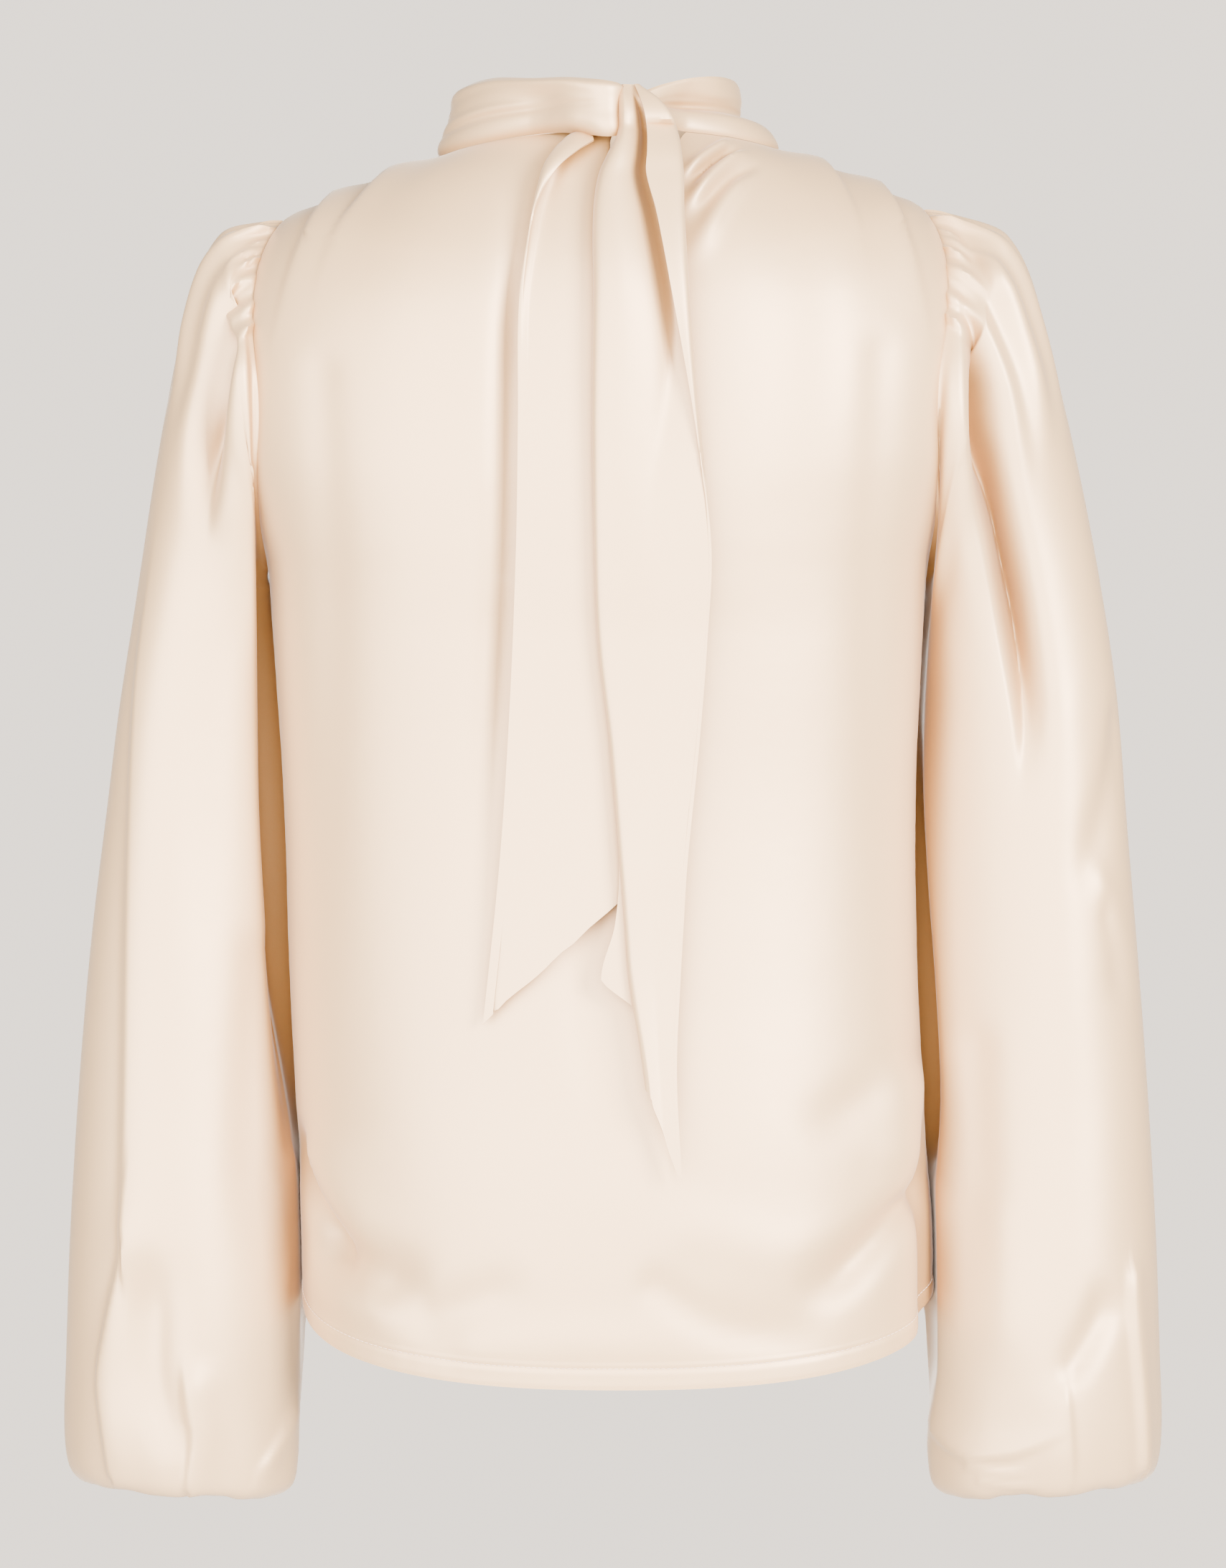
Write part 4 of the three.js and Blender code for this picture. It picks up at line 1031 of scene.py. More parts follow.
RIGHT_SLEEVE_FOLDS = (
    Fold(((166, -84), (167, -120), (166, -160), (160, -250), (157, -320), (159, -380), (163, -440),
          (165, -500), (161, -560), (162, -640)), -14, 3.5, 4.5, beyond=15, start=0.2, stop=0.6),
    Fold(((176, -70), (183, -82), (189, -104), (191, -128), (192, -155), (196, -182), (202, -214),
          (208, -252), (215, -300), (214, -350)), -24, 8, 12, beyond=4.5, start=0.16),
    Fold(((177, -100), (180, -140), (184, -200), (190, -270)), 4, 6, 10, start=0.1),
    Fold(((180, -34), (193, -64), (206, -90), (214, -124)), -5, 5, 9, start=0.1),
    Fold(((190, -42), (208, -76), (222, -120), (228, -170)), 3.4, 7, 14, start=0.1),
    Fold(((267, -296), (262, -330), (252, -364), (244, -400)), -3, 6, 11),
    Fold(((258, -398), (264, -424), (268, -452)), -2.6, 5, 8),
    Fold(((254, -380), (262, -410), (268, -440)), 2, 6, 8),
    Fold(((232, -300), (236, -400), (230, -520)), 2.0, 18, 24),
    Fold(((256, -606), (247, -622), (238, -636), (234, -650)), -5, 9, 7),
    Fold(((234, -640), (236, -660), (237, -674), (238, -694)), 2.4, 3, 3, beyond=12, start=0.1, stop=0.4),
    Fold(((166, -660), (171, -674), (184, -683), (198, -683), (214, -679), (236, -668)), 2.8, 11, 8,
         beyond=2.2, start=0.5, stop=0.1),
    Fold(((186, -688), (204, -692), (220, -689)), 1.2, 1.8),
    Fold(((192, -696), (210, -699), (226, -696)), 1.0, 1.8),
    Fold(((271, -590), (273, -622), (276, -654), (278, -690)), 3.2, 7, 6, beyond=2.6, stop=0.8),
    Fold(((200, -560), (206, -610), (212, -650)), 2.0, 14, 16),
    Fold(((190, -470), (192, -560), (196, -620)), -2.0, 10, 14),
)
HIDDEN_SLEEVE_FOLDS = (
    Fold(((190, -52), (202, -90), (214, -150), (224, -240), (230, -320)), -6, 6, 14),
    Fold(((206, -52), (220, -90), (234, -150)), -2.6, 6, 9),
    Fold(((240, -210), (248, -330), (250, -460), (246, -620)), 4, 20, 22, beyond=6),
    Fold(((204, -500), (212, -590), (208, -686)), -4.6, 9, 12, stop=0.4),
    Fold(((246, -600), (240, -640), (244, -690)), -3.2, 5, 7, stop=0.5),
    Fold(((180, -600), (190, -640), (188, -684)), -2.6, 5, 6),
    Fold(((190, -240), (196, -340), (190, -440)), -2.6, 12, 18),
)


@dataclass(frozen=True)
class Swell:
    """A smooth swelling along a sleeve: its size, the middle of its run and its half width."""

    size: float
    middle: float
    wide: float

    def at(self, along: np.ndarray) -> np.ndarray:
        """The swelling at distances down the sleeve."""
        return self.size * bell(along - self.middle, self.wide)


ARM_SPREAD = Swell(3.5, 250, 120)
LEFT_DRAWS = (Swell(7, 85, 50),)
RIGHT_DRAWS = (Swell(12, 240, 170), Swell(7, 85, 50), Swell(12, 42, 30))


@dataclass
class Sleeve:
    """A full sleeve, gathered at the head and bloused over its cuff."""

    body: BodyForm
    side: Side
    back_folds: tuple[Fold, ...]
    draws: tuple[Swell, ...]
    front_folds: tuple[Fold, ...] = HIDDEN_SLEEVE_FOLDS
    rings: SizeTable = SLEEVE_RINGS
    columns: int = 280
    head_rows: int = 40
    arm_rows: int = 86
    wrist_rows: int = 34
    head_end: float = 66.0
    wrist_start: float = 655.0
    seam_room: float = -1.8
    clearance: float = 0.3
    cloth: float = 0.7
    seam_depth: float = 1.5
    seam_fade: float = 3.0
    rim_drop: float = 5.0
    front_lean: float = 22.0
    lean_start: float = 110.0
    lean_rise: float = 80.0
    lean_end: float = 530.0
    lean_fall: float = 55.0
    blend: float = 30.0
    softness: float = 0.8
    rim_softness: float = 0.05
    soft_span: float = 40.0
    free_start: float = 600.0
    free_over: float = 70.0
    wall: float = 0.7
    tucks: int = 23
    tuck_rise: float = 5.0
    tuck_uneven: float = 2.2
    tuck_length: float = 15.0
    tuck_longer: float = 20.0
    tuck_wide: float = 0.33
    tuck_rooted: float = 0.35
    tuck_root: float = 9.0
    top_calm: float = 0.65
    top_wide: float = 0.42
    fullness: float = 2.6
    fullness_waves: int = 7
    root_sink: float = 1.8
    roll_start: float = 600.0
    roll_over: float = 90.0
    rim_folds_start: float = 690.0
    rim_folds_over: float = 30.0
    inside_from: float = 694.0
    inside_over: float = 12.0
    sewn_gap: float = 1.5
    sewn_over: float = 9.0
    facing_over: float = 0.35
    girth_radius: float = 62.0
    middle: tuple[float, float, float] = (215.0, 8.0, -400.0)
    gather_spread: float = 132 * DEGREE
    fullness_spread: float = 160 * DEGREE

    def ring_point(self, ring: dict[str, np.ndarray], around: np.ndarray) -> np.ndarray:
        """Point of an oval ring, from 0 over the arm over 90 degrees at the back.

        Args:
            ring: sizes of the ring at each place.
            around: angle round the sleeve.

        Returns:
            Points of the ring, with x counted outwards.
        """
        over = (1 + np.cos(around)) / 2
        depth = np.where(np.sin(around) >= 0, -ring["back"], ring["front"])
        return np.stack(
            [
                mix(ring["under_x"], ring["over_x"], over),
                depth * np.abs(np.sin(around)) + ring["tuck"] * (1 - over),
                mix(ring["under_z"], ring["over_z"], over),
            ],
            axis=-1,
        )

    def form(self, around: np.ndarray, along: np.ndarray) -> np.ndarray:
        """The sleeve with no gathers or folds, its x counted outwards.

        Args:
            around: angle round the sleeve.
            along: distance down the sleeve.

        Returns:
            Points of the smooth sleeve.
        """
        start = self.rings.rows[0][0]
        ring = self.rings.at(along)
        point = self.ring_point(ring, around)
        sign = self.side.value
        spread = sign * ARM_SPREAD.at(along)
        draw = sum(swell.at(along) for swell in self.draws)
        leaning = ease((along - self.lean_start) / self.lean_rise)
        lean = leaning * (1 - ease((along - self.lean_end) / self.lean_fall))
        draw = draw + self.front_lean * lean * np.clip(-np.sin(around), 0, 1)
        point[..., 0] += (spread * (1 + np.cos(around)) - draw * (1 - np.cos(around))) / 2
        join = (1 - ease((along - start) / self.blend))[..., None]
        armhole = self.body.armhole(self.side, around) * np.array([sign, 1, 1])
        armhole[..., 0] += self.seam_room
        first = self.ring_point(self.rings.at(np.full(along.shape, start)), around)
        point = point + (armhole - first) * join
        near = ease((along - start) / self.blend)
        limit = self.body.side_reach(self.side, point[..., 1], point[..., 2])
        rim = self.seam_room - self.rim_drop * (1 + np.cos(around)) / 2
        limit = limit + mix(rim, self.clearance + self.cloth, near)
        soft = self.softness * near + self.rim_softness
        over = (point[..., 0] - limit) / soft
        rounded = soft * np.logaddexp(0, np.clip(over, -self.soft_span, self.soft_span))
        pushed = limit + rounded + np.maximum(0, point[..., 0] - limit - self.soft_span * soft)
        point[..., 0] = mix(point[..., 0], pushed, 1 - ease((along - self.free_start) / self.free_over))
        return point

    def gathers(self, turn: np.ndarray, along: np.ndarray) -> np.ndarray:
        """Gathers at the head: many short tucks of uneven length, merging into fewer folds.

        Args:
            turn: angle from the shoulder, negative at the front.
            along: distance down the sleeve.

        Returns:
            The rise of the cloth at each place, in millimetres.
        """
        run = along - self.rings.rows[0][0]
        height = np.zeros(turn.shape)
        for index in range(self.tucks):
            share = (index + 0.5 + 0.25 * math.sin(index * 2.4)) / self.tucks - 0.5
            length = self.tuck_length + self.tuck_longer * math.sin(index * 1.7 + 1) ** 2
            drift = share * (1 + 0.10 * run / length)
            wide = self.tuck_wide / self.tucks * self.gather_spread * (1 + 0.25 * math.sin(index * 3.1))
            size = self.tuck_rise + self.tuck_uneven * math.sin(index * 4.3)
            swell = mix(self.tuck_rooted, 1.0, ease(run / self.tuck_root)) * (1 - ease(run / length))
            swell = swell * (1 - self.top_calm * bell(turn, self.top_wide))
            height += size * bell(turn - drift * self.gather_spread, wide) * swell
        window = 1 - ease(np.abs(turn) / (self.fullness_spread / 2) * 3 - 2)
        grown = ease(run / 32) * (1 - ease((along - 46) / 104))
        wave = np.cos(2 * np.pi * self.fullness_waves * turn / self.fullness_spread + 0.7)
        sunk = self.root_sink * window * bell(run - 9, 12)
        return height + self.fullness * window * grown * wave - sunk

    def roll_folds(self, around: np.ndarray, along: np.ndarray) -> np.ndarray:
        """Folds where the sleeve rolls under, drawn together towards the cuff.

        Args:
            around: angle round the sleeve.
            along: distance down the sleeve.

        Returns:
            The rise of the cloth at each place, in millimetres.
        """
        reach = ease((along - self.roll_start) / self.roll_over)
        wide = np.sin(5 * around + 0.9) + 0.7 * np.sin(8 * around + 2.1) + 0.5 * np.sin(3 * around)
        rolled = ease((along - self.rim_folds_start) / self.rim_folds_over)
        tight = np.sin(17 * around + 1.2 * np.sin(3 * around)) * rolled
        return reach * (0.9 * wide + 0.7 * tight)

    def surface(self, around: np.ndarray, along: np.ndarray) -> np.ndarray:
        """The sleeve with everything on it, in the row's own x.

        Args:
            around: angle round the sleeve.
            along: distance down the sleeve.

        Returns:
            Points of the cloth's outside.
        """
        point = self.form(around, along)
        step = 0.8 * DEGREE
        head = self.rings.rows[0][0]
        start = np.maximum(along, head + 2)
        across = self.form(around + step, start) - self.form(around - step, start)
        down = self.form(around, start + 2) - self.form(around, start - 2)
        normal = unit(np.cross(across, down))
        turn = np.where(around > np.pi, around - 2 * np.pi, around)
        height = self.gathers(turn, along) + self.roll_folds(around, along)
        height = height - self.seam_depth * (1 - ease((along - head) / self.seam_fade))
        facing = ease(np.abs(np.sin(around)) / self.facing_over)
        outside = 1 - ease((along - self.inside_from) / self.inside_over)
        sewn = ease((along - head - self.sewn_gap) / self.sewn_over)
        for folds, chosen in ((self.back_folds, np.sin(around) > 0), (self.front_folds, np.sin(around) <= 0)):
            total = sum(fold.height(point[..., 0], point[..., 2]) for fold in folds)
            height = height + np.where(chosen, total * facing * outside * sewn, 0)
        return (point + normal * height[..., None]) * np.array([self.side.value, 1, 1])

    def make(self, satin: bpy.types.Material) -> bpy.types.Object:
        """Builds the sleeve.

        Args:
            satin: its material.

        Returns:
            The piece, dressed.
        """
        name = "sleeve_" + self.side.name.lower()
        start, end = self.rings.rows[0][0], self.rings.rows[-1][0]
        alongs = np.concatenate(
            [
                np.linspace(start, self.head_end, self.head_rows, endpoint=False),
                np.linspace(self.head_end, self.wrist_start, self.arm_rows, endpoint=False),
                np.linspace(self.wrist_start, end, self.wrist_rows),
            ]
        )
        around = np.linspace(0, 2 * np.pi, self.columns)
        grid_around, grid_along = np.meshgrid(around, alongs)
        points = self.surface(grid_around, grid_along)
        sizes = np.stack([grid_around * self.girth_radius, grid_along], axis=-1)
        piece = cloth_sheet("blouse_" + name, points, sizes, closed=True)
        face_outwards(piece, np.array(self.middle) * np.array([self.side.value, 1, 1]))
        thicken(piece, self.wall)
        dress(piece, satin, name)
        return piece


@dataclass
class Cuff:
    """A narrow double cuff inside the blousing, gathered at its top."""

    side: Side
    x: float = 228.0
    wide: float = 35.4
    deep: float = 35.2
    top: float = -669.5
    height: float = 30.0
    wall: float = 1.8
    ripple: float = 0.35
    ripple_reach: float = 9.0
    rounding: float = 0.9
    rounding_wide: float = 1.2
    inset: float = 0.5

    def make(self, satin: bpy.types.Material) -> bpy.types.Object:
        """Builds the cuff.

        Args:
            satin: its material.

        Returns:
            The piece, dressed.
        """
        around, down = np.meshgrid(np.linspace(0, 2 * np.pi, 97), np.linspace(0, self.height, 25))
        wave = np.sin(14 * around + np.sin(3 * around))
        ripple = self.ripple * wave * (1 - ease(down / self.ripple_reach))
        top = -self.rounding * bell(down, self.rounding_wide)
        foot = self.rounding * bell(down - self.height, self.rounding_wide)
        reach = ripple + (top - foot) - self.inset
        points = np.stack(
            [
                self.side.value * self.x + (self.wide + reach) * np.cos(around),
                (self.deep + reach) * np.sin(around),
                self.top - down,
            ],
            axis=-1,
        )
        name = "cuff_" + self.side.name.lower()
        piece = cloth_sheet("blouse_" + name, points, np.stack([around * 35, down], axis=-1), closed=True)
        face_outwards(piece, np.array([self.side.value * self.x, 0.0, self.top - self.height / 2]))
        thicken(piece, self.wall)
        dress(piece, satin, name)
        return piece


BAND_STATIONS = (
    ("free", 90, 18, -75, 9, 17.5, -69, 27, 1),
    ("free", 78, 27, -70, 9, 27, -63, 31, 2),
    ("sewn", 64, 0, 0, 0, 42, -52, 35.5, 4),
    ("sewn", 42, 0, 0, 0, 56, -36, 38, 5),
    ("sewn", 22, 0, 0, 0, 65, -12, 38.5, 5.4),
    ("sewn", 0, 0, 0, 0, 67, 10, 36.5, 5.4),
    ("sewn", -25, 0, 0, 0, 61, 34, 34, 4.4),
    ("sewn", -50, 0, 0, 0, 43, 55, 31, 3),
    ("sewn", -72, 0, 0, 0, 18, 66, 28, 2),
    ("sewn", -90, 0, 0, 0, -6, 69, 26, 1.6),
    ("sewn", -108, 0, 0, 0, -31, 66, 28, 1.6),
    ("sewn", -130, 0, 0, 0, -57, 54, 32, 2),
    ("sewn", -155, 0, 0, 0, -75, 32, 34, 2.6),
    ("sewn", -180, 0, 0, 0, -80, 8, 35, 3),
    ("sewn", -202, 0, 0, 0, -76, -16, 36.5, 3),
    ("sewn", -224, 0, 0, 0, -62, -40, 37, 3),
    ("sewn", -244, 0, 0, 0, -43, -63, 34, 2.8),
    ("free", -254, -27, -68, 5, -26, -76, 33, 3.2),
    ("free", -261, -15, -79, 3, -14, -83, 31.5, 3),
    ("free", -267, -5, -87, 1, -4, -87, 30, 2),
    ("free", -272, 3.0, -86, 1.5, 4.2, -84, 28.5, 0.8),
    ("free", -276, 10, -74, 4, 10, -72, 25, 0.2),
)
LEDGE_PROFILE = SizeTable(
    ("height", "stand"),
    ((0, 0), (0.15, 0.25), (0.3, 0.15), (0.38, -0.3), (0.46, -1.75), (0.6, -1.35), (0.77, -0.62), (1, 0)),
)
ROLL_PROFILE = SizeTable(
    ("height", "stand"), ((0, 0), (0.12, 0.8), (0.24, 1.0), (0.46, 0.75), (0.67, 1.0), (0.9, 1.25), (1, 0))
)


@dataclass
class Neckband:
    """The high band, from its free end right of the knot, round the front, to the wrap over the knot."""

    body: BodyForm
    columns: int = 260
    rows: int = 40
    room: float = 0.3
    wall: float = 1.8
    ledge_until: float = 7.0
    roll_from: float = 11.5
    top_rounding: float = 0.9
    foot_rounding: float = 0.5
    pull_rise: float = 1.5
    pull_slope: float = 0.055
    right_share: float = 0.4
    wrap_start: float = 15.0
    wrap_loss: float = 0.7
    slack: float = 0.6
    pinch_depth: float = 2.4
    lobe_rise: float = 2.6

    def table(self) -> SizeTable:
        """The band's stations with the neckline worked out for the sewn ones.

        Returns:
            The stations as a size table.
        """
        rows = []
        for index, (kind, turn, x, y, z, top_x, top_y, top_z, crease) in enumerate(BAND_STATIONS):
            low = self.neck_point(np.array([float(turn)]))[0] if kind == "sewn" else (x, y, z)
            rows.append((float(index), turn, *low, top_x, top_y, top_z, crease))
        return SizeTable(("place", "turn", "x", "y", "z", "top_x", "top_y", "top_z", "crease"), tuple(rows))

    def neck_point(self, turn: np.ndarray) -> np.ndarray:
        """A place on the neckline, where the band is sewn."""
        around = np.mod(turn, 360) * DEGREE
        return self.body.surface(around, np.zeros(around.shape)) + np.array([0, 0, self.room])

    def edge(self, table: SizeTable, place: np.ndarray, height: np.ndarray) -> np.ndarray:
        """The straight side of the band between its lower and its upper edge.

        Args:
            table: the band's stations.
            place: places along the band.
            height: share of the way up it.

        Returns:
            Points between the two edges.
        """
        row = table.at(place)
        kinds = [station[0] for station in BAND_STATIONS]
        first, last = kinds.index("sewn"), len(kinds) - 1 - kinds[::-1].index("sewn")
        sewn = (place >= first) & (place <= last)
        free = np.stack([row["x"], row["y"], row["z"]], axis=-1)
        low = np.where(sewn[..., None], self.neck_point(row["turn"]), free)
        top = np.stack([row["top_x"], row["top_y"], row["top_z"]], axis=-1)
        return mix(low, top, height[..., None])

    def surface(self, place: np.ndarray, height: np.ndarray) -> np.ndarray:
        """The band with its crease, its pulls towards the knot and its rounded top.

        Args:
            place: places along the band.
            height: share of the way up it.

        Returns:
            Points of the cloth's outside.
        """
        table = self.table()
        run = self.edge(table, place + 0.2, height) - self.edge(table, place - 0.2, height)
        out = unit(np.stack([run[..., 1], -run[..., 0], np.zeros(place.shape)], axis=-1))
        crease = table.at(place)["crease"]
        ledge = LEDGE_PROFILE.at(height)["stand"]
        roll = ROLL_PROFILE.at(height)["stand"]
        rolled = ease((place - self.ledge_until) / (self.roll_from - self.ledge_until))
        stand = crease * mix(ledge, roll, rolled)
        stand = stand + self.pulls(place, height)
        stand = stand - self.top_rounding * bell(1 - height, 0.035)
        stand = stand - self.foot_rounding * bell(height, 0.03)
        return self.edge(table, place, height) + out * stand[..., None]

    def pulls(self, place: np.ndarray, height: np.ndarray) -> np.ndarray:
        """Soft pulls along the band, strongest beside the knot and slight at the front.

        Args:
            place: places along the band.
            height: share of the way up it.

        Returns:
            The rise of the cloth at each place, in millimetres.
        """
        growing = ease((place - 12) / 3)
        over_knot = self.wrap_loss * ease((place - self.wrap_start) / 1.5)
        ending = ease((place - 18) / 1.4)
        left = growing * (1 - over_knot) * (1 - ending)
        right = self.right_share * ease((6 - place) / 5)
        drift = 0.08 * np.sin(place * 0.9)
        slope = self.pull_slope * (place - self.wrap_start)
        left_pull = self.pull_rise * bell(height - 0.5 - slope, 0.07)
        left_pull = left_pull - self.pull_rise * bell(height - 0.38 - slope, 0.06)
        left_pull = left_pull - 0.9 * bell(height - 0.76 - drift, 0.08)
        right_pull = 1.3 * bell(height - 0.7 + drift, 0.07) - 1.4 * bell(height - 0.56 - drift, 0.06)
        slack = self.slack * np.sin(place * 1.7 + 3 * height) * np.sin(np.pi * height)
        pinch = -self.pinch_depth * bell(place - 16.3, 0.7) * bell(height - 0.62, 0.26)
        lobe = self.lobe_rise * bell(place - 17.6, 0.9) * bell(height - 0.3, 0.24)
        return left * left_pull + right * right_pull + slack + pinch + lobe

    def make(self, satin: bpy.types.Material) -> bpy.types.Object:
        """Builds the band.

        Args:
            satin: its material.

        Returns:
            The piece, dressed.
        """
        places = np.linspace(0, len(BAND_STATIONS) - 1, self.columns)
        heights = np.linspace(0, 1, self.rows)
        grid_place, grid_height = np.meshgrid(places, heights)
        points = self.surface(grid_place, grid_height)
        sizes = np.stack([grid_place * 24, grid_height * 42], axis=-1)
        piece = cloth_sheet("blouse_neckband", points, sizes)
        face_outwards(piece, np.array([0.0, 0.0, 15.0]))
        thicken(piece, self.wall)
        dress(piece, satin, "neckband")
        return piece


@dataclass
class Knot:
    """The short roll under the wrap that both ends of the band turn round."""

    x: float = 11.0
    y: float = -75.5
    z: float = 14.0
    wide: float = 5.0
    deep: float = 4.2
    tall: float = 9.0

    def make(self, satin: bpy.types.Material) -> bpy.types.Object:
        """Builds the roll with its cloth drawn into fine folds.

        Args:
            satin: its material.

        Returns:
            The piece, dressed.
        """
        bpy.ops.object.select_all(action="DESELECT")
        bpy.ops.mesh.primitive_uv_sphere_add(segments=40, ring_count=28, radius=1)
        piece = bpy.context.object
        piece.name = "blouse_tie_knot"
        count = len(piece.data.vertices)
        points = np.zeros(count * 3)
        piece.data.vertices.foreach_get("co", points)
        points = points.reshape(-1, 3)
        turn = np.arctan2(points[:, 1], points[:, 0])
        draw = 1 - 0.07 * (1 + np.sin(7 * turn + 2 * points[:, 2])) * (1 - np.abs(points[:, 2]))
        scaled = points * np.array([self.wide, self.deep, self.tall])
        scaled[:, :2] *= draw[:, None]
        scaled += np.array([self.x, self.y, self.z])
        piece.data.vertices.foreach_set("co", (scaled * MILLIMETRE).ravel())
        piece.data.update()
        bpy.ops.object.shade_smooth()
        dress(piece, satin, "tie_knot")
        return piece


OVER_TIE = SizeTable(
    ("z", "rear", "bend", "roll", "valley", "edge", "lip", "out", "crown"),
    (
        (28, 5, 10, 3, 9, 14, 11, 13, 1),
        (20, 5, 13, 3.4, 12, 23, 14, 17.5, 3),
        (11, 5, 17, 3.4, 14, 30, 16.5, 17.5, 5.5),
        (2, 5, 19, 2.6, 14, 33, 17.5, 14, 8),
        (-8, 5, 20, -2, 14, 34.5, 17.5, 11, 9.5),
        (-20, 5, 22, -7, 12, 35.5, 17, 8, 10),
        (-40, 3, 24, -9.5, 12, 36, 22, 6.5, 10),
        (-80, 0, 25, -9.5, 17, 38.5, 29.5, 7, 8.5),
        (-150, -3, 26, -10, 21, 44.5, 42, 8, 5),
        (-210, -5, 26, -9, 22, 47, 50, 9.6, 2),
        (-260, -5, 26, -7, 21, 45, 48, 10.8, 1.2),
        (-312, -2, 26, -1, 22, 40, 44, 12, 1),
        (-372, 3, 26, 4, 22, 34, 38, 13, 0.8),
        (-404, 1, 26, 6.5, 22, 32, 36, 12, 0.8),
        (-430, -6, 26, 8.5, 22, 31, 34.5, 11, 0.8),
        (-480, -4, 27, 16, 24, 29, 32.5, 10, 0.8),
        (-540, -4, 28, 22, 28, 32, 35.5, 9, 0.8),
    ),
)
UNDER_TIE = SizeTable(
    ("z", "left", "right", "under", "lift", "seat", "curl", "strip"),
    (
        (17, -5, 3, -3, 9, 5, 0.1, 2),
        (9, -9, 1, -5, 10, 5, 0.4, 5),
        (3, -22, -1, -5.5, 12, 5.4, 0.9, 12),
        (-1, -26, -2, -9, 13, 6, 1, 16),
        (-4, -29, -2, -12, 14, 6, 1, 14),
        (-14, -35, -2, -16, 14, 4.5, 1, 8),
        (-27, -39, 0, -20, 11, 3.6, 0.9, 3),
        (-45, -43, 1, -26, 8.4, 3.2, 0.6, 1.5),
        (-85, -48, 6, -34, 6, 3, 0.2, 1),
        (-145, -48.5, 12, -38, 5.8, 3, 0, 1),
        (-210, -49.5, 14, -40, 6.2, 3.4, 0, 1),
        (-295, -53, 14, -40, 7.6, 4.8, 0, 1),
        (-372, -58, 14, -42, 8.2, 5.4, 0, 1),
        (-460, -67, 14, -44, 7, 4.2, 0, 1),
    ),
)


def side_by_side(places: tuple[tuple[np.ndarray, np.ndarray], ...]) -> np.ndarray:
    """Puts the places of a section, each with its x and its distance off the back, in one array."""
    return np.stack([np.stack(np.broadcast_arrays(x, out), axis=-1) for x, out in places], axis=1)


@dataclass
class Tie:
    """One hanging end of the tie: cloth folded lengthwise, with a bias end."""

    body: BodyForm
    name: str
    table: SizeTable
    first_end: float
    last_end: float
    flat: tuple[float, float]
    rows: int = 150
    between: int = 4
    layer: float = 2.8
    wall: float = 1.1
    cut_share: float = 0.93
    middle_height: float = -300.0
    top_crowding: float = 1.3
    wave: float = 0.5
    wave_start: float = 60.0
    wave_over: float = 200.0

    def section(self, z: np.ndarray) -> np.ndarray:
        """Places of the cloth across the tie, as x and distance off the back panel, at heights.

        Args:
            z: heights.

        Returns:
            The places across, from one edge to the other.
        """
        raise NotImplementedError

    def make(self, satin: bpy.types.Material) -> bpy.types.Object:
        """Builds the tie.

        Args:
            satin: its material.

        Returns:
            The piece, dressed.
        """
        middle = self.section(np.array([self.middle_height]))[0]
        steps = np.linalg.norm(np.diff(middle, axis=0), axis=1)
        lengths = np.concatenate([[0.0], np.cumsum(steps)])
        knots = np.arange(len(middle), dtype=float)
        places = np.linspace(0, len(middle) - 1, self.between * (len(middle) - 1) + 1)
        reach = np.interp(places, knots, lengths)
        ends = mix(self.first_end, self.last_end, reach / reach[-1])
        top = self.table.rows[0][0]
        share = np.linspace(0, 1, self.rows)[:, None] ** self.top_crowding
        heights = top + (ends[None, :] - top) * share
        points = np.zeros((*heights.shape, 3))
        for column, place in enumerate(places):
            z = heights[:, column]
            section = self.section(z)
            first = int(min(math.floor(place), len(middle) - 2))
            before, start, end, after = (
                section[:, min(max(first + shift, 0), len(middle) - 1)] for shift in (-1, 0, 1, 2)
            )
            here = curve_between(start, end, (end - before) / 2, (after - start) / 2, place - first)
            depth = self.body.back_depth(here[:, 0], z)
            points[:, column] = np.stack([here[:, 0], depth - here[:, 1], z], axis=-1)
        points = self.soften(points, reach / reach[-1])
        sizes = np.stack([np.repeat(reach[None, :], self.rows, axis=0), heights], axis=-1)
        piece = cloth_sheet("blouse_" + self.name, points, sizes)
        thicken(piece, self.wall, offset=0.0)
        dress(piece, satin, self.name)
        return piece

    def soften(self, points: np.ndarray, share: np.ndarray) -> np.ndarray:
        """Slight waves down the hanging cloth.

        Args:
            points: the tie's places.
            share: share of the way across it.

        Returns:
            The places with their waves.
        """
        z = points[..., 2]
        hang = ease((-z - self.wave_start) / self.wave_over)
        points[..., 1] += hang * self.wave * np.sin(z * 0.021 + 4 * share[None, :])
        return points


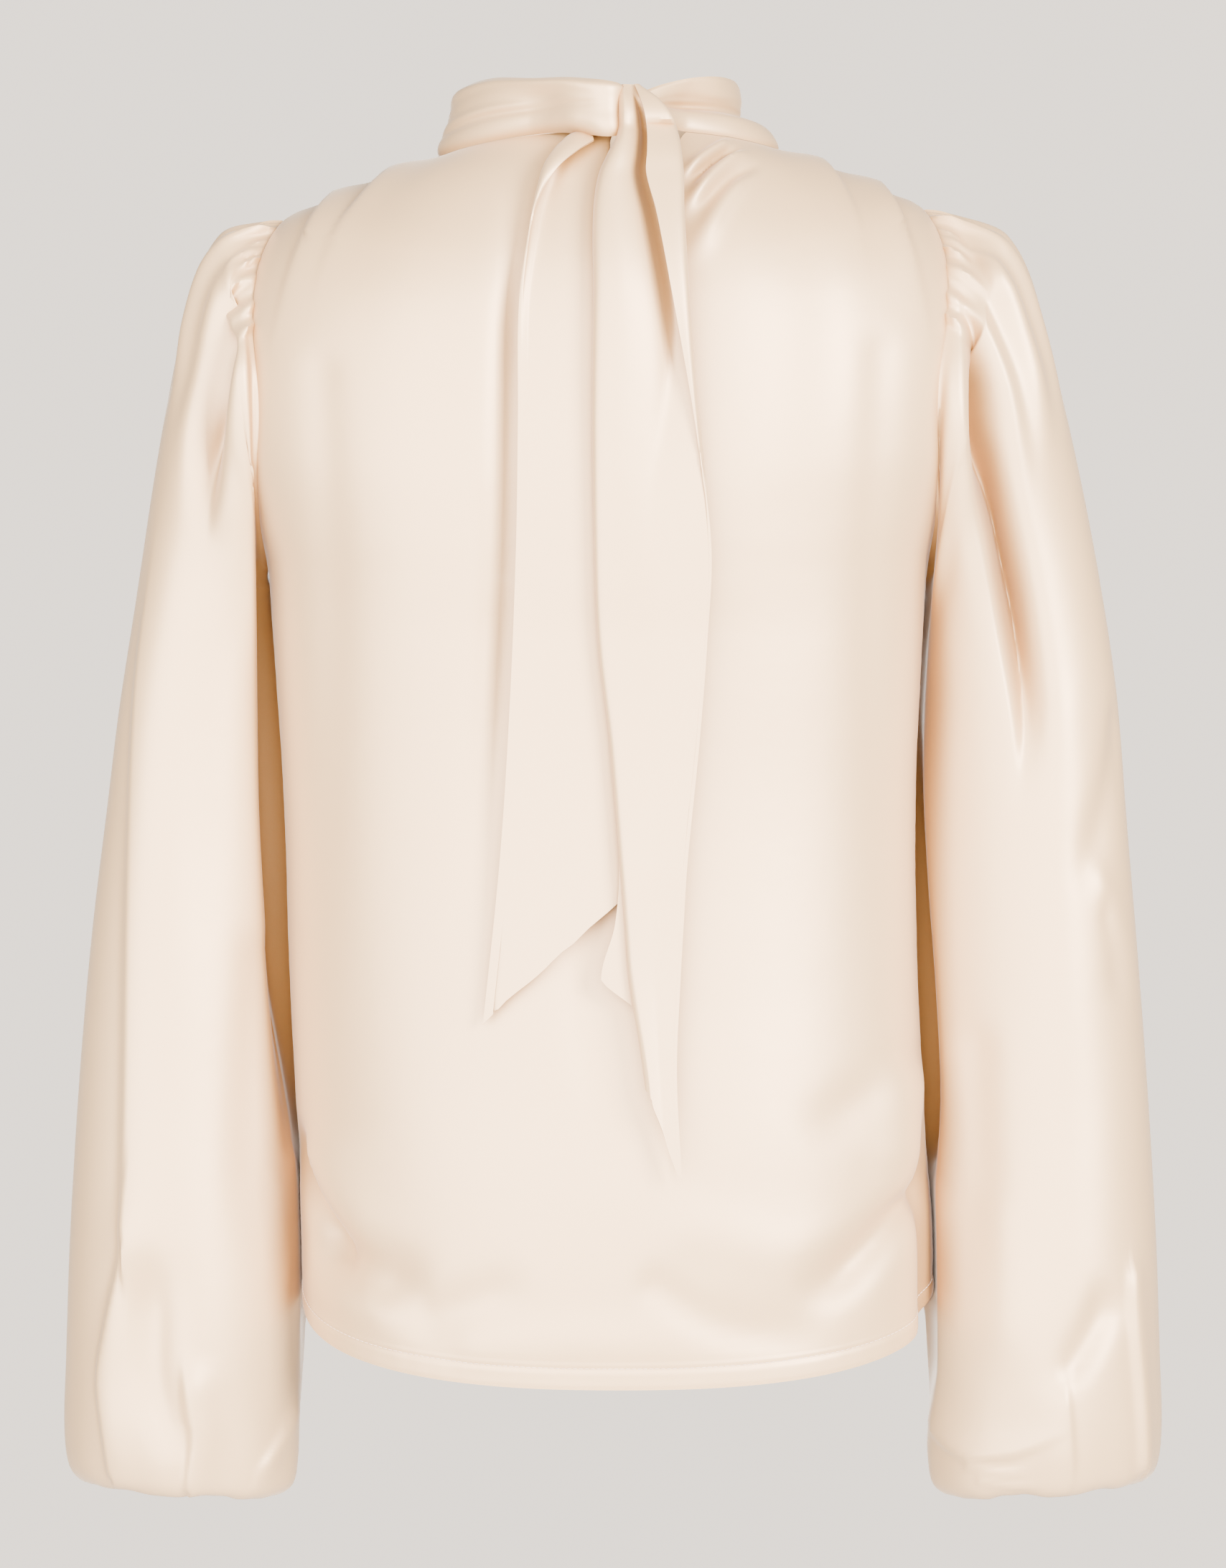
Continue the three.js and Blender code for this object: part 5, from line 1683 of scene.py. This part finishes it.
@dataclass
class OverTie(Tie):
    """The upper tie, in three layers: rear, bend, roll, valley and the turned long edge."""

    def section(self, z: np.ndarray) -> np.ndarray:
        """Across the upper tie, from its short edge to its long edge.

        Args:
            z: heights.

        Returns:
            The places across.
        """
        row = self.table.at(z)
        layer = self.layer
        half = layer / 2
        out, crown = row["out"], row["crown"]
        front = out + 2 * layer
        turned = ease((row["edge"] + 3 - row["lip"]) / 12)
        deep = ease((z + 190) / 120) * ease((24 - z) / 12)
        valley = mix(row["valley"], row["lip"] - 1.5, deep)
        outer = mix(valley, row["edge"], 0.5)
        fold = front + crown * 0.5 + half * turned
        edge, lip = row["edge"], row["lip"]
        places = (
            (row["rear"], out),
            (mix(row["rear"], row["bend"], 0.5), out),
            (row["bend"] - 1.5, out),
            (row["bend"], out + half),
            (row["bend"] - 1.5, out + layer),
            (mix(row["bend"], row["roll"], 0.5), out + layer - 0.9 * deep),
            (row["roll"] + 1.7, out + layer),
            (row["roll"], out + layer + half + crown * 0.3),
            (row["roll"] + 1.9, front + crown * 0.85),
            (mix(row["roll"], valley, 0.34), front + crown),
            (mix(row["roll"], valley, 0.74), front + crown * mix(0.4, 0.5, deep)),
            (valley, front - 2.6 * deep),
            (outer, front + crown * 0.12 - 2.6 * deep),
            (mix(mix(edge, lip, 0.3), edge - 1.5, turned), front + crown * 0.3 - 0.6 * deep),
            (mix(mix(edge, lip, 0.6), edge, turned), fold + deep),
            (
                mix(mix(edge, lip, 0.8), edge - 1.8, turned),
                mix(fold, front + crown + layer * 0.6, turned) + 1.6 * deep,
            ),
            (lip, mix(fold, front + crown + layer * 0.5, turned) + 2.4 * deep),
        )
        return side_by_side(places)


@dataclass
class UnderTie(Tie):
    """The lower tie: its long edge at the left, turned under at the right."""

    def section(self, z: np.ndarray) -> np.ndarray:
        """Across the lower tie, from its long edge to its short edge.

        Args:
            z: heights.

        Returns:
            The places across.
        """
        row = self.table.at(z)
        layer = self.layer
        seat, curl, lift = row["seat"], row["curl"], row["lift"]
        left, right, under = row["left"], row["right"], row["under"]
        middle = mix(left, right, 0.55)
        strip = row["strip"]
        sunk = lift - 6 * curl
        places = (
            (left + strip * curl, lift + 2.6 * curl),
            (left + mix(1.4, strip * 0.45, curl), lift + 3.6 * curl),
            (left + 2.8 * (1 - curl), lift + 0.8 * curl),
            (left + mix(4.6, 3.0, curl), lift - 3.0 * curl),
            (left + mix(7, 8, curl), sunk),
            (mix(left + 8, middle, 0.5), mix(sunk, seat + layer, 0.35)),
            (middle, mix(sunk, seat + layer, 0.8)),
            (right - 1.5, seat + layer),
            (right, seat + layer / 2),
            (right - 1.5, seat),
            (mix(right, under, 0.5), seat),
            (under, seat),
        )
        return side_by_side(places)


@dataclass
class HemStitches:
    """A line of small stitches along the hem, one piece for each panel."""

    body: BodyForm
    pitch: float = 3.0
    length: float = 2.2
    radius: float = 0.26
    up: float = 7.8
    proud: float = 0.05
    samples: int = 4000

    def line(self, start: float, stop: float) -> np.ndarray:
        """Evenly spaced places on the hem between two angles.

        Args:
            start: first angle.
            stop: last angle.

        Returns:
            The middle, direction and outward direction of each stitch.
        """
        turns = even_turns(np.array([start]), np.array([stop]), self.samples)[0]
        downs = np.full(turns.shape, HEM_DOWN - self.up)
        points = self.body.surface(turns, downs) + self.body.normal(turns, downs) * self.proud
        length = np.concatenate([[0.0], np.cumsum(np.linalg.norm(np.diff(points, axis=0), axis=1))])
        marks = np.arange(self.pitch, length[-1] - self.pitch, self.pitch)
        middle = np.stack([np.interp(marks, length, points[:, axis]) for axis in range(3)], axis=1)
        ahead = np.stack([np.interp(marks + 0.5, length, points[:, axis]) for axis in range(3)], axis=1)
        turn = np.interp(marks, length, turns)
        out = self.body.normal(turn, np.full(turn.shape, HEM_DOWN - self.up))
        return np.stack([middle, unit(ahead - middle), out], axis=1)

    def make(self, name: str, start: float, stop: float, thread: bpy.types.Material) -> bpy.types.Object:
        """Builds the stitches of one panel from copies of one small stitch.

        Args:
            name: the piece's name.
            start: angle of the line's start.
            stop: angle of its end.
            thread: its material.

        Returns:
            The piece, dressed.
        """
        bpy.ops.object.select_all(action="DESELECT")
        bpy.ops.mesh.primitive_cylinder_add(vertices=6, radius=1, depth=2)
        stitch = bpy.context.object
        edit_whole(bpy.ops.mesh.bevel, offset=0.4, segments=1)
        shape = np.array([tuple(vertex.co) for vertex in stitch.data.vertices])
        faces = [tuple(face.vertices) for face in stitch.data.polygons]
        bpy.data.objects.remove(stitch)
        points = []
        every = []
        for index, (middle, along, out) in enumerate(self.line(start, stop)):
            across = np.cross(along, out)
            local = shape * np.array([self.radius, self.radius, self.length / 2])
            points.append(middle + local[:, :1] * across + local[:, 1:2] * out + local[:, 2:] * along)
            every.extend(tuple(corner + index * len(shape) for corner in face) for face in faces)
        mesh = bpy.data.meshes.new(name)
        mesh.from_pydata((np.concatenate(points) * MILLIMETRE).tolist(), [], every)
        mesh.uv_layers.new(name="UVMap")
        piece = bpy.data.objects.new(name, mesh)
        bpy.context.scene.collection.objects.link(piece)
        mesh.materials.append(thread)
        select_only(piece)
        bpy.ops.object.shade_smooth()
        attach(piece, "root")
        log.info("%s: %d stitches", name, len(points))
        return piece


@dataclass
class Studio:
    """Pale floor, soft lights and the camera behind the blouse."""

    distance: float = 3.0
    middle: float = -0.332
    lens: float = 130.1
    floor: float = -2.2

    def make(self) -> None:
        """Builds the floor, the lights, the surroundings and the camera."""
        self.add_floor()
        self.add_light("broad_light", (-0.9, -3.15, -0.1), (4.2, 2.6), 745, (1.0, 0.99, 0.97))
        self.add_light("key_light", (1.9, -2.5, 0.45), (1.2, 1.2), 480, (1.0, 0.99, 0.97))
        self.add_light("front_light", (0.0, 3.4, -0.2), (2.0, 1.6), 110, (1.0, 0.98, 0.95))
        self.surround()
        self.add_camera()

    def add_floor(self) -> None:
        """The pale floor, far below the hanging blouse."""
        bpy.ops.object.select_all(action="DESELECT")
        bpy.ops.mesh.primitive_plane_add(size=14, location=(0, 0, self.floor))
        floor = bpy.context.object
        floor.name = "floor"
        pale = {"Base Color": (0.69, 0.665, 0.635, 1.0), "Roughness": 0.9}
        floor.data.materials.append(new_material("floor_pale", pale))

    def add_light(
        self,
        name: str,
        place: tuple[float, float, float],
        size: tuple[float, float],
        power: float,
        colour: tuple[float, float, float],
    ) -> None:
        """Adds a soft box that faces the blouse.

        Args:
            name: its name.
            place: where it stands, in metres.
            size: its width and height, in metres.
            power: its strength in watts.
            colour: its colour.
        """
        bpy.ops.object.light_add(type="AREA", location=place)
        light = bpy.context.object
        light.name = name
        light.data.shape = "RECTANGLE"
        light.data.size, light.data.size_y = size
        light.data.energy = power
        light.data.color = colour
        aim = np.array([0, 0, self.middle]) - np.array(place)
        flat = math.hypot(aim[0], aim[1])
        light.rotation_euler = (math.atan2(flat, -aim[2]), 0, math.atan2(-aim[0], aim[1]))

    def surround(self) -> None:
        """Even pale surroundings, dimmer and warmer as light than they look behind the blouse."""
        world = bpy.data.worlds.new("studio")
        bpy.context.scene.world = world
        world.use_nodes = True
        nodes = world.node_tree.nodes
        links = world.node_tree.links
        nodes.clear()
        seen = nodes.new("ShaderNodeBackground")
        seen.inputs["Color"].default_value = (2.15, 1.90, 1.66, 1.0)
        lit = nodes.new("ShaderNodeBackground")
        lit.inputs["Color"].default_value = (1.0, 0.72, 0.46, 1.0)
        lit.inputs["Strength"].default_value = 0.08
        path = nodes.new("ShaderNodeLightPath")
        blend = nodes.new("ShaderNodeMixShader")
        output = nodes.new("ShaderNodeOutputWorld")
        links.new(path.outputs["Is Camera Ray"], blend.inputs[0])
        links.new(lit.outputs[0], blend.inputs[1])
        links.new(seen.outputs[0], blend.inputs[2])
        links.new(blend.outputs[0], output.inputs["Surface"])

    def add_camera(self) -> None:
        """The camera, level with the middle of the blouse and straight behind it."""
        bpy.ops.object.camera_add(location=(0, -self.distance, self.middle), rotation=(math.pi / 2, 0, 0))
        camera = bpy.context.object
        camera.name = "camera"
        camera.data.lens = self.lens
        camera.data.sensor_width = 36
        bpy.context.scene.camera = camera


def main() -> None:
    """Builds the blouse piece by piece, then the studio, and logs each piece's face or stitch count."""
    logging.basicConfig(level=logging.INFO, format="%(name)s: %(message)s")
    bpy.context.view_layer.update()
    body = BodyForm()
    satin, band, tie = SATIN.make(), BAND_SATIN.make(), TIE_SATIN.make()
    thread = ThreadFinish("thread").make()
    panels = Panels(body)
    panels.make_back(satin)
    panels.make_front(satin)
    Sleeve(body, Side.LEFT, LEFT_SLEEVE_FOLDS, LEFT_DRAWS).make(satin)
    Sleeve(body, Side.RIGHT, RIGHT_SLEEVE_FOLDS, RIGHT_DRAWS).make(satin)
    Cuff(Side.LEFT).make(band)
    Cuff(Side.RIGHT).make(band)
    Neckband(body).make(band)
    Knot().make(band)
    OverTie(body, "tie_tail_front", OVER_TIE, -432, -533, (0.115, 0.51)).make(tie)
    UnderTie(body, "tie_tail_back", UNDER_TIE, -455, -318, (0.115, 0.40)).make(tie)
    stitches = HemStitches(body)
    for name, start in (("hem_stitches_back", 0.0), ("hem_stitches_front", math.pi)):
        stitches.make(name, start + SIDE_SEAM_GAP, start + math.pi - SIDE_SEAM_GAP, thread)
    Studio().make()


if __name__ == "__main__":
    main()
